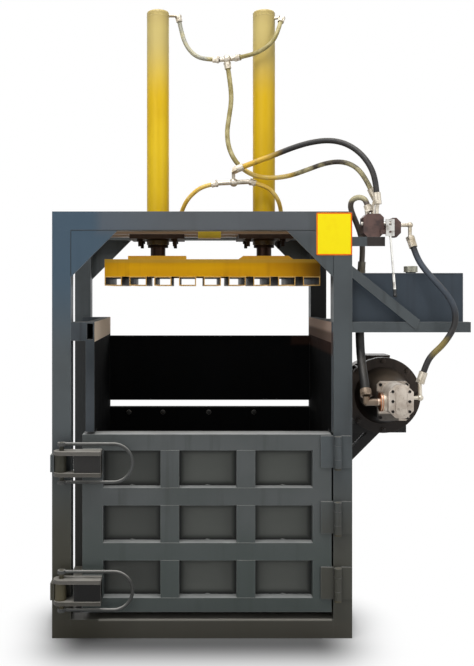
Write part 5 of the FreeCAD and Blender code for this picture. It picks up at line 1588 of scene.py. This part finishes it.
@dataclass
class Studio:
    """The plain pale floor, the soft lamps and the camera at the photograph's view."""

    reach: float = 14.0
    floor_level: float = -0.0005
    # The colour of the painted shadow in front of the foot.
    floor_dark: float = 0.10
    floor_pale: float = 0.86
    floor_roughness: float = 0.9
    sky_colour: tuple[float, ...] = (0.94, 0.97, 1.0, 1.0)
    sky_light: float = 0.3
    camera_place: Point = (-0.085, -4.107, 1.485)
    lens: float = 47.0
    sensor: float = 36.0
    shift: Span = (0.0661, -0.0646)
    shades: tuple[FloorShade, ...] = (
        # Painted shadow in front of the machine's foot.
        FloorShade((-0.056, -0.325, 0.0), (0.482, 0.125, 1.0), (0.44, 0.48, 1.0)),
        # Contact patch behind it, where only the real shadow shows.
        FloorShade((-0.046, 0.15, 0.0), (0.64, 0.25, 1.0), (0.07, 0.30, 1.0)),
    )
    panels: tuple[SoftPanel, ...] = (
        SoftPanel("top_panel", (-0.3, -1.6, 5.2), (0.1, 0.0, 1.0), 2.6, 200.0),
        SoftPanel("left_panel", (-3.0, -4.6, 2.6), (0.1, 0.0, 1.3), 3.0, 62.0),
        SoftPanel("right_panel", (3.8, -3.2, 2.4), (0.2, 0.0, 1.2), 3.0, 50.0),
        SoftPanel("back_panel", (0.5, 3.8, 3.6), (0.0, 0.3, 1.2), 3.0, 70.0),
    )

    def camera_rays(self, net: Net) -> Pin:
        """Give 1 for rays from the camera, also by way of glossy and clear surfaces.

        Args:
            net: The net that needs it.

        Returns:
            The number's socket.
        """
        path = net.add("LightPath").outputs
        shiny = net.math("MAXIMUM", path["Is Camera Ray"], path["Is Glossy Ray"])
        return net.math("MAXIMUM", shiny, path["Is Transmission Ray"])

    def floor(self) -> None:
        """Lay a white floor that keeps the machine's shadow, with a painted shadow in front of its foot."""
        clear_selection()
        bpy.ops.mesh.primitive_plane_add(size=2 * self.reach, location=(0, 0, self.floor_level))
        slab = bpy.context.object
        slab.name = "studio_floor"
        material = bpy.data.materials.new("floor_white")
        material.use_nodes = True
        net = Net(material.node_tree)
        # The front patch is a painted shadow: the floor's colour goes dark there as well as its glow; the
        # rear patch only lets the real shadow show.
        foot, rear = (shade.build(net) for shade in self.shades)
        colour = net.add("Mix", {"Factor": foot, "A": (*[self.floor_dark] * 3, 1.0),
                                 "B": (*[self.floor_pale] * 3, 1.0)}, data_type="RGBA")
        shader = net.tree.nodes["Principled BSDF"]
        shader.inputs["Roughness"].default_value = self.floor_roughness
        net.tree.links.new(colour.outputs["Result"], shader.inputs["Base Color"])
        glow = net.math("MULTIPLY", net.math("MULTIPLY", self.camera_rays(net), foot), rear)
        mix = net.add("MixShader", {0: glow, 1: shader.outputs[0], 2: net.add("Emission").outputs[0]})
        net.tree.links.new(mix.outputs[0], net.tree.nodes["Material Output"].inputs["Surface"])
        slab.data.materials.append(material)

    def sky(self) -> None:
        """Surround the scene with plain light that looks white to the camera."""
        world = bpy.data.worlds.new("studio_world")
        world.use_nodes = True
        world.node_tree.nodes.clear()
        net = Net(world.node_tree)
        light = net.add("Background", {"Color": self.sky_colour, "Strength": self.sky_light})
        seen = net.add("Background", {"Color": WHITE})
        mix = net.add("MixShader", {0: self.camera_rays(net), 1: light.outputs[0], 2: seen.outputs[0]})
        net.add("OutputWorld", {"Surface": mix.outputs[0]})
        bpy.context.scene.world = world

    def camera(self) -> None:
        """Set up the camera."""
        lens = bpy.data.cameras.new("front_camera")
        lens.lens = self.lens
        lens.sensor_width = self.sensor
        lens.shift_x, lens.shift_y = self.shift
        holder = bpy.data.objects.new("front_camera", lens)
        holder.location = self.camera_place
        holder.rotation_euler = (math.radians(90), 0, 0)
        bpy.context.scene.collection.objects.link(holder)
        bpy.context.scene.camera = holder

    def build(self) -> None:
        """Build the whole studio."""
        self.floor()
        self.sky()
        for panel in self.panels:
            panel.build()
        self.camera()
        bpy.context.scene.view_settings.view_transform = "Standard"


def main() -> None:
    """Build the looks of the baler, piece by piece."""
    logging.basicConfig(level=logging.INFO, format="%(message)s")
    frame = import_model()
    for tone, nodes in NODE_TONES.items():
        for node in nodes:
            dress(frame["nodes"][node], tone.material)
        LOG.info("dressed in %s: %d nodes", tone.name.lower(), len(nodes))
    low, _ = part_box("valve_lever")
    dress(frame["nodes"]["valve_lever"], LeverFinish("lever_finish", low.z + KNOB_LENGTH).material())
    for hose in HOSES:
        LOG.info("hose: %s", hose.model().name)
    for assembly in (Portals(), Door(), Latches(), Chamber(), Cylinders(), HoseEnds(), PowerPack(), Tank()):
        assembly.build()
    Studio().build()


if __name__ == "__main__":
    main()
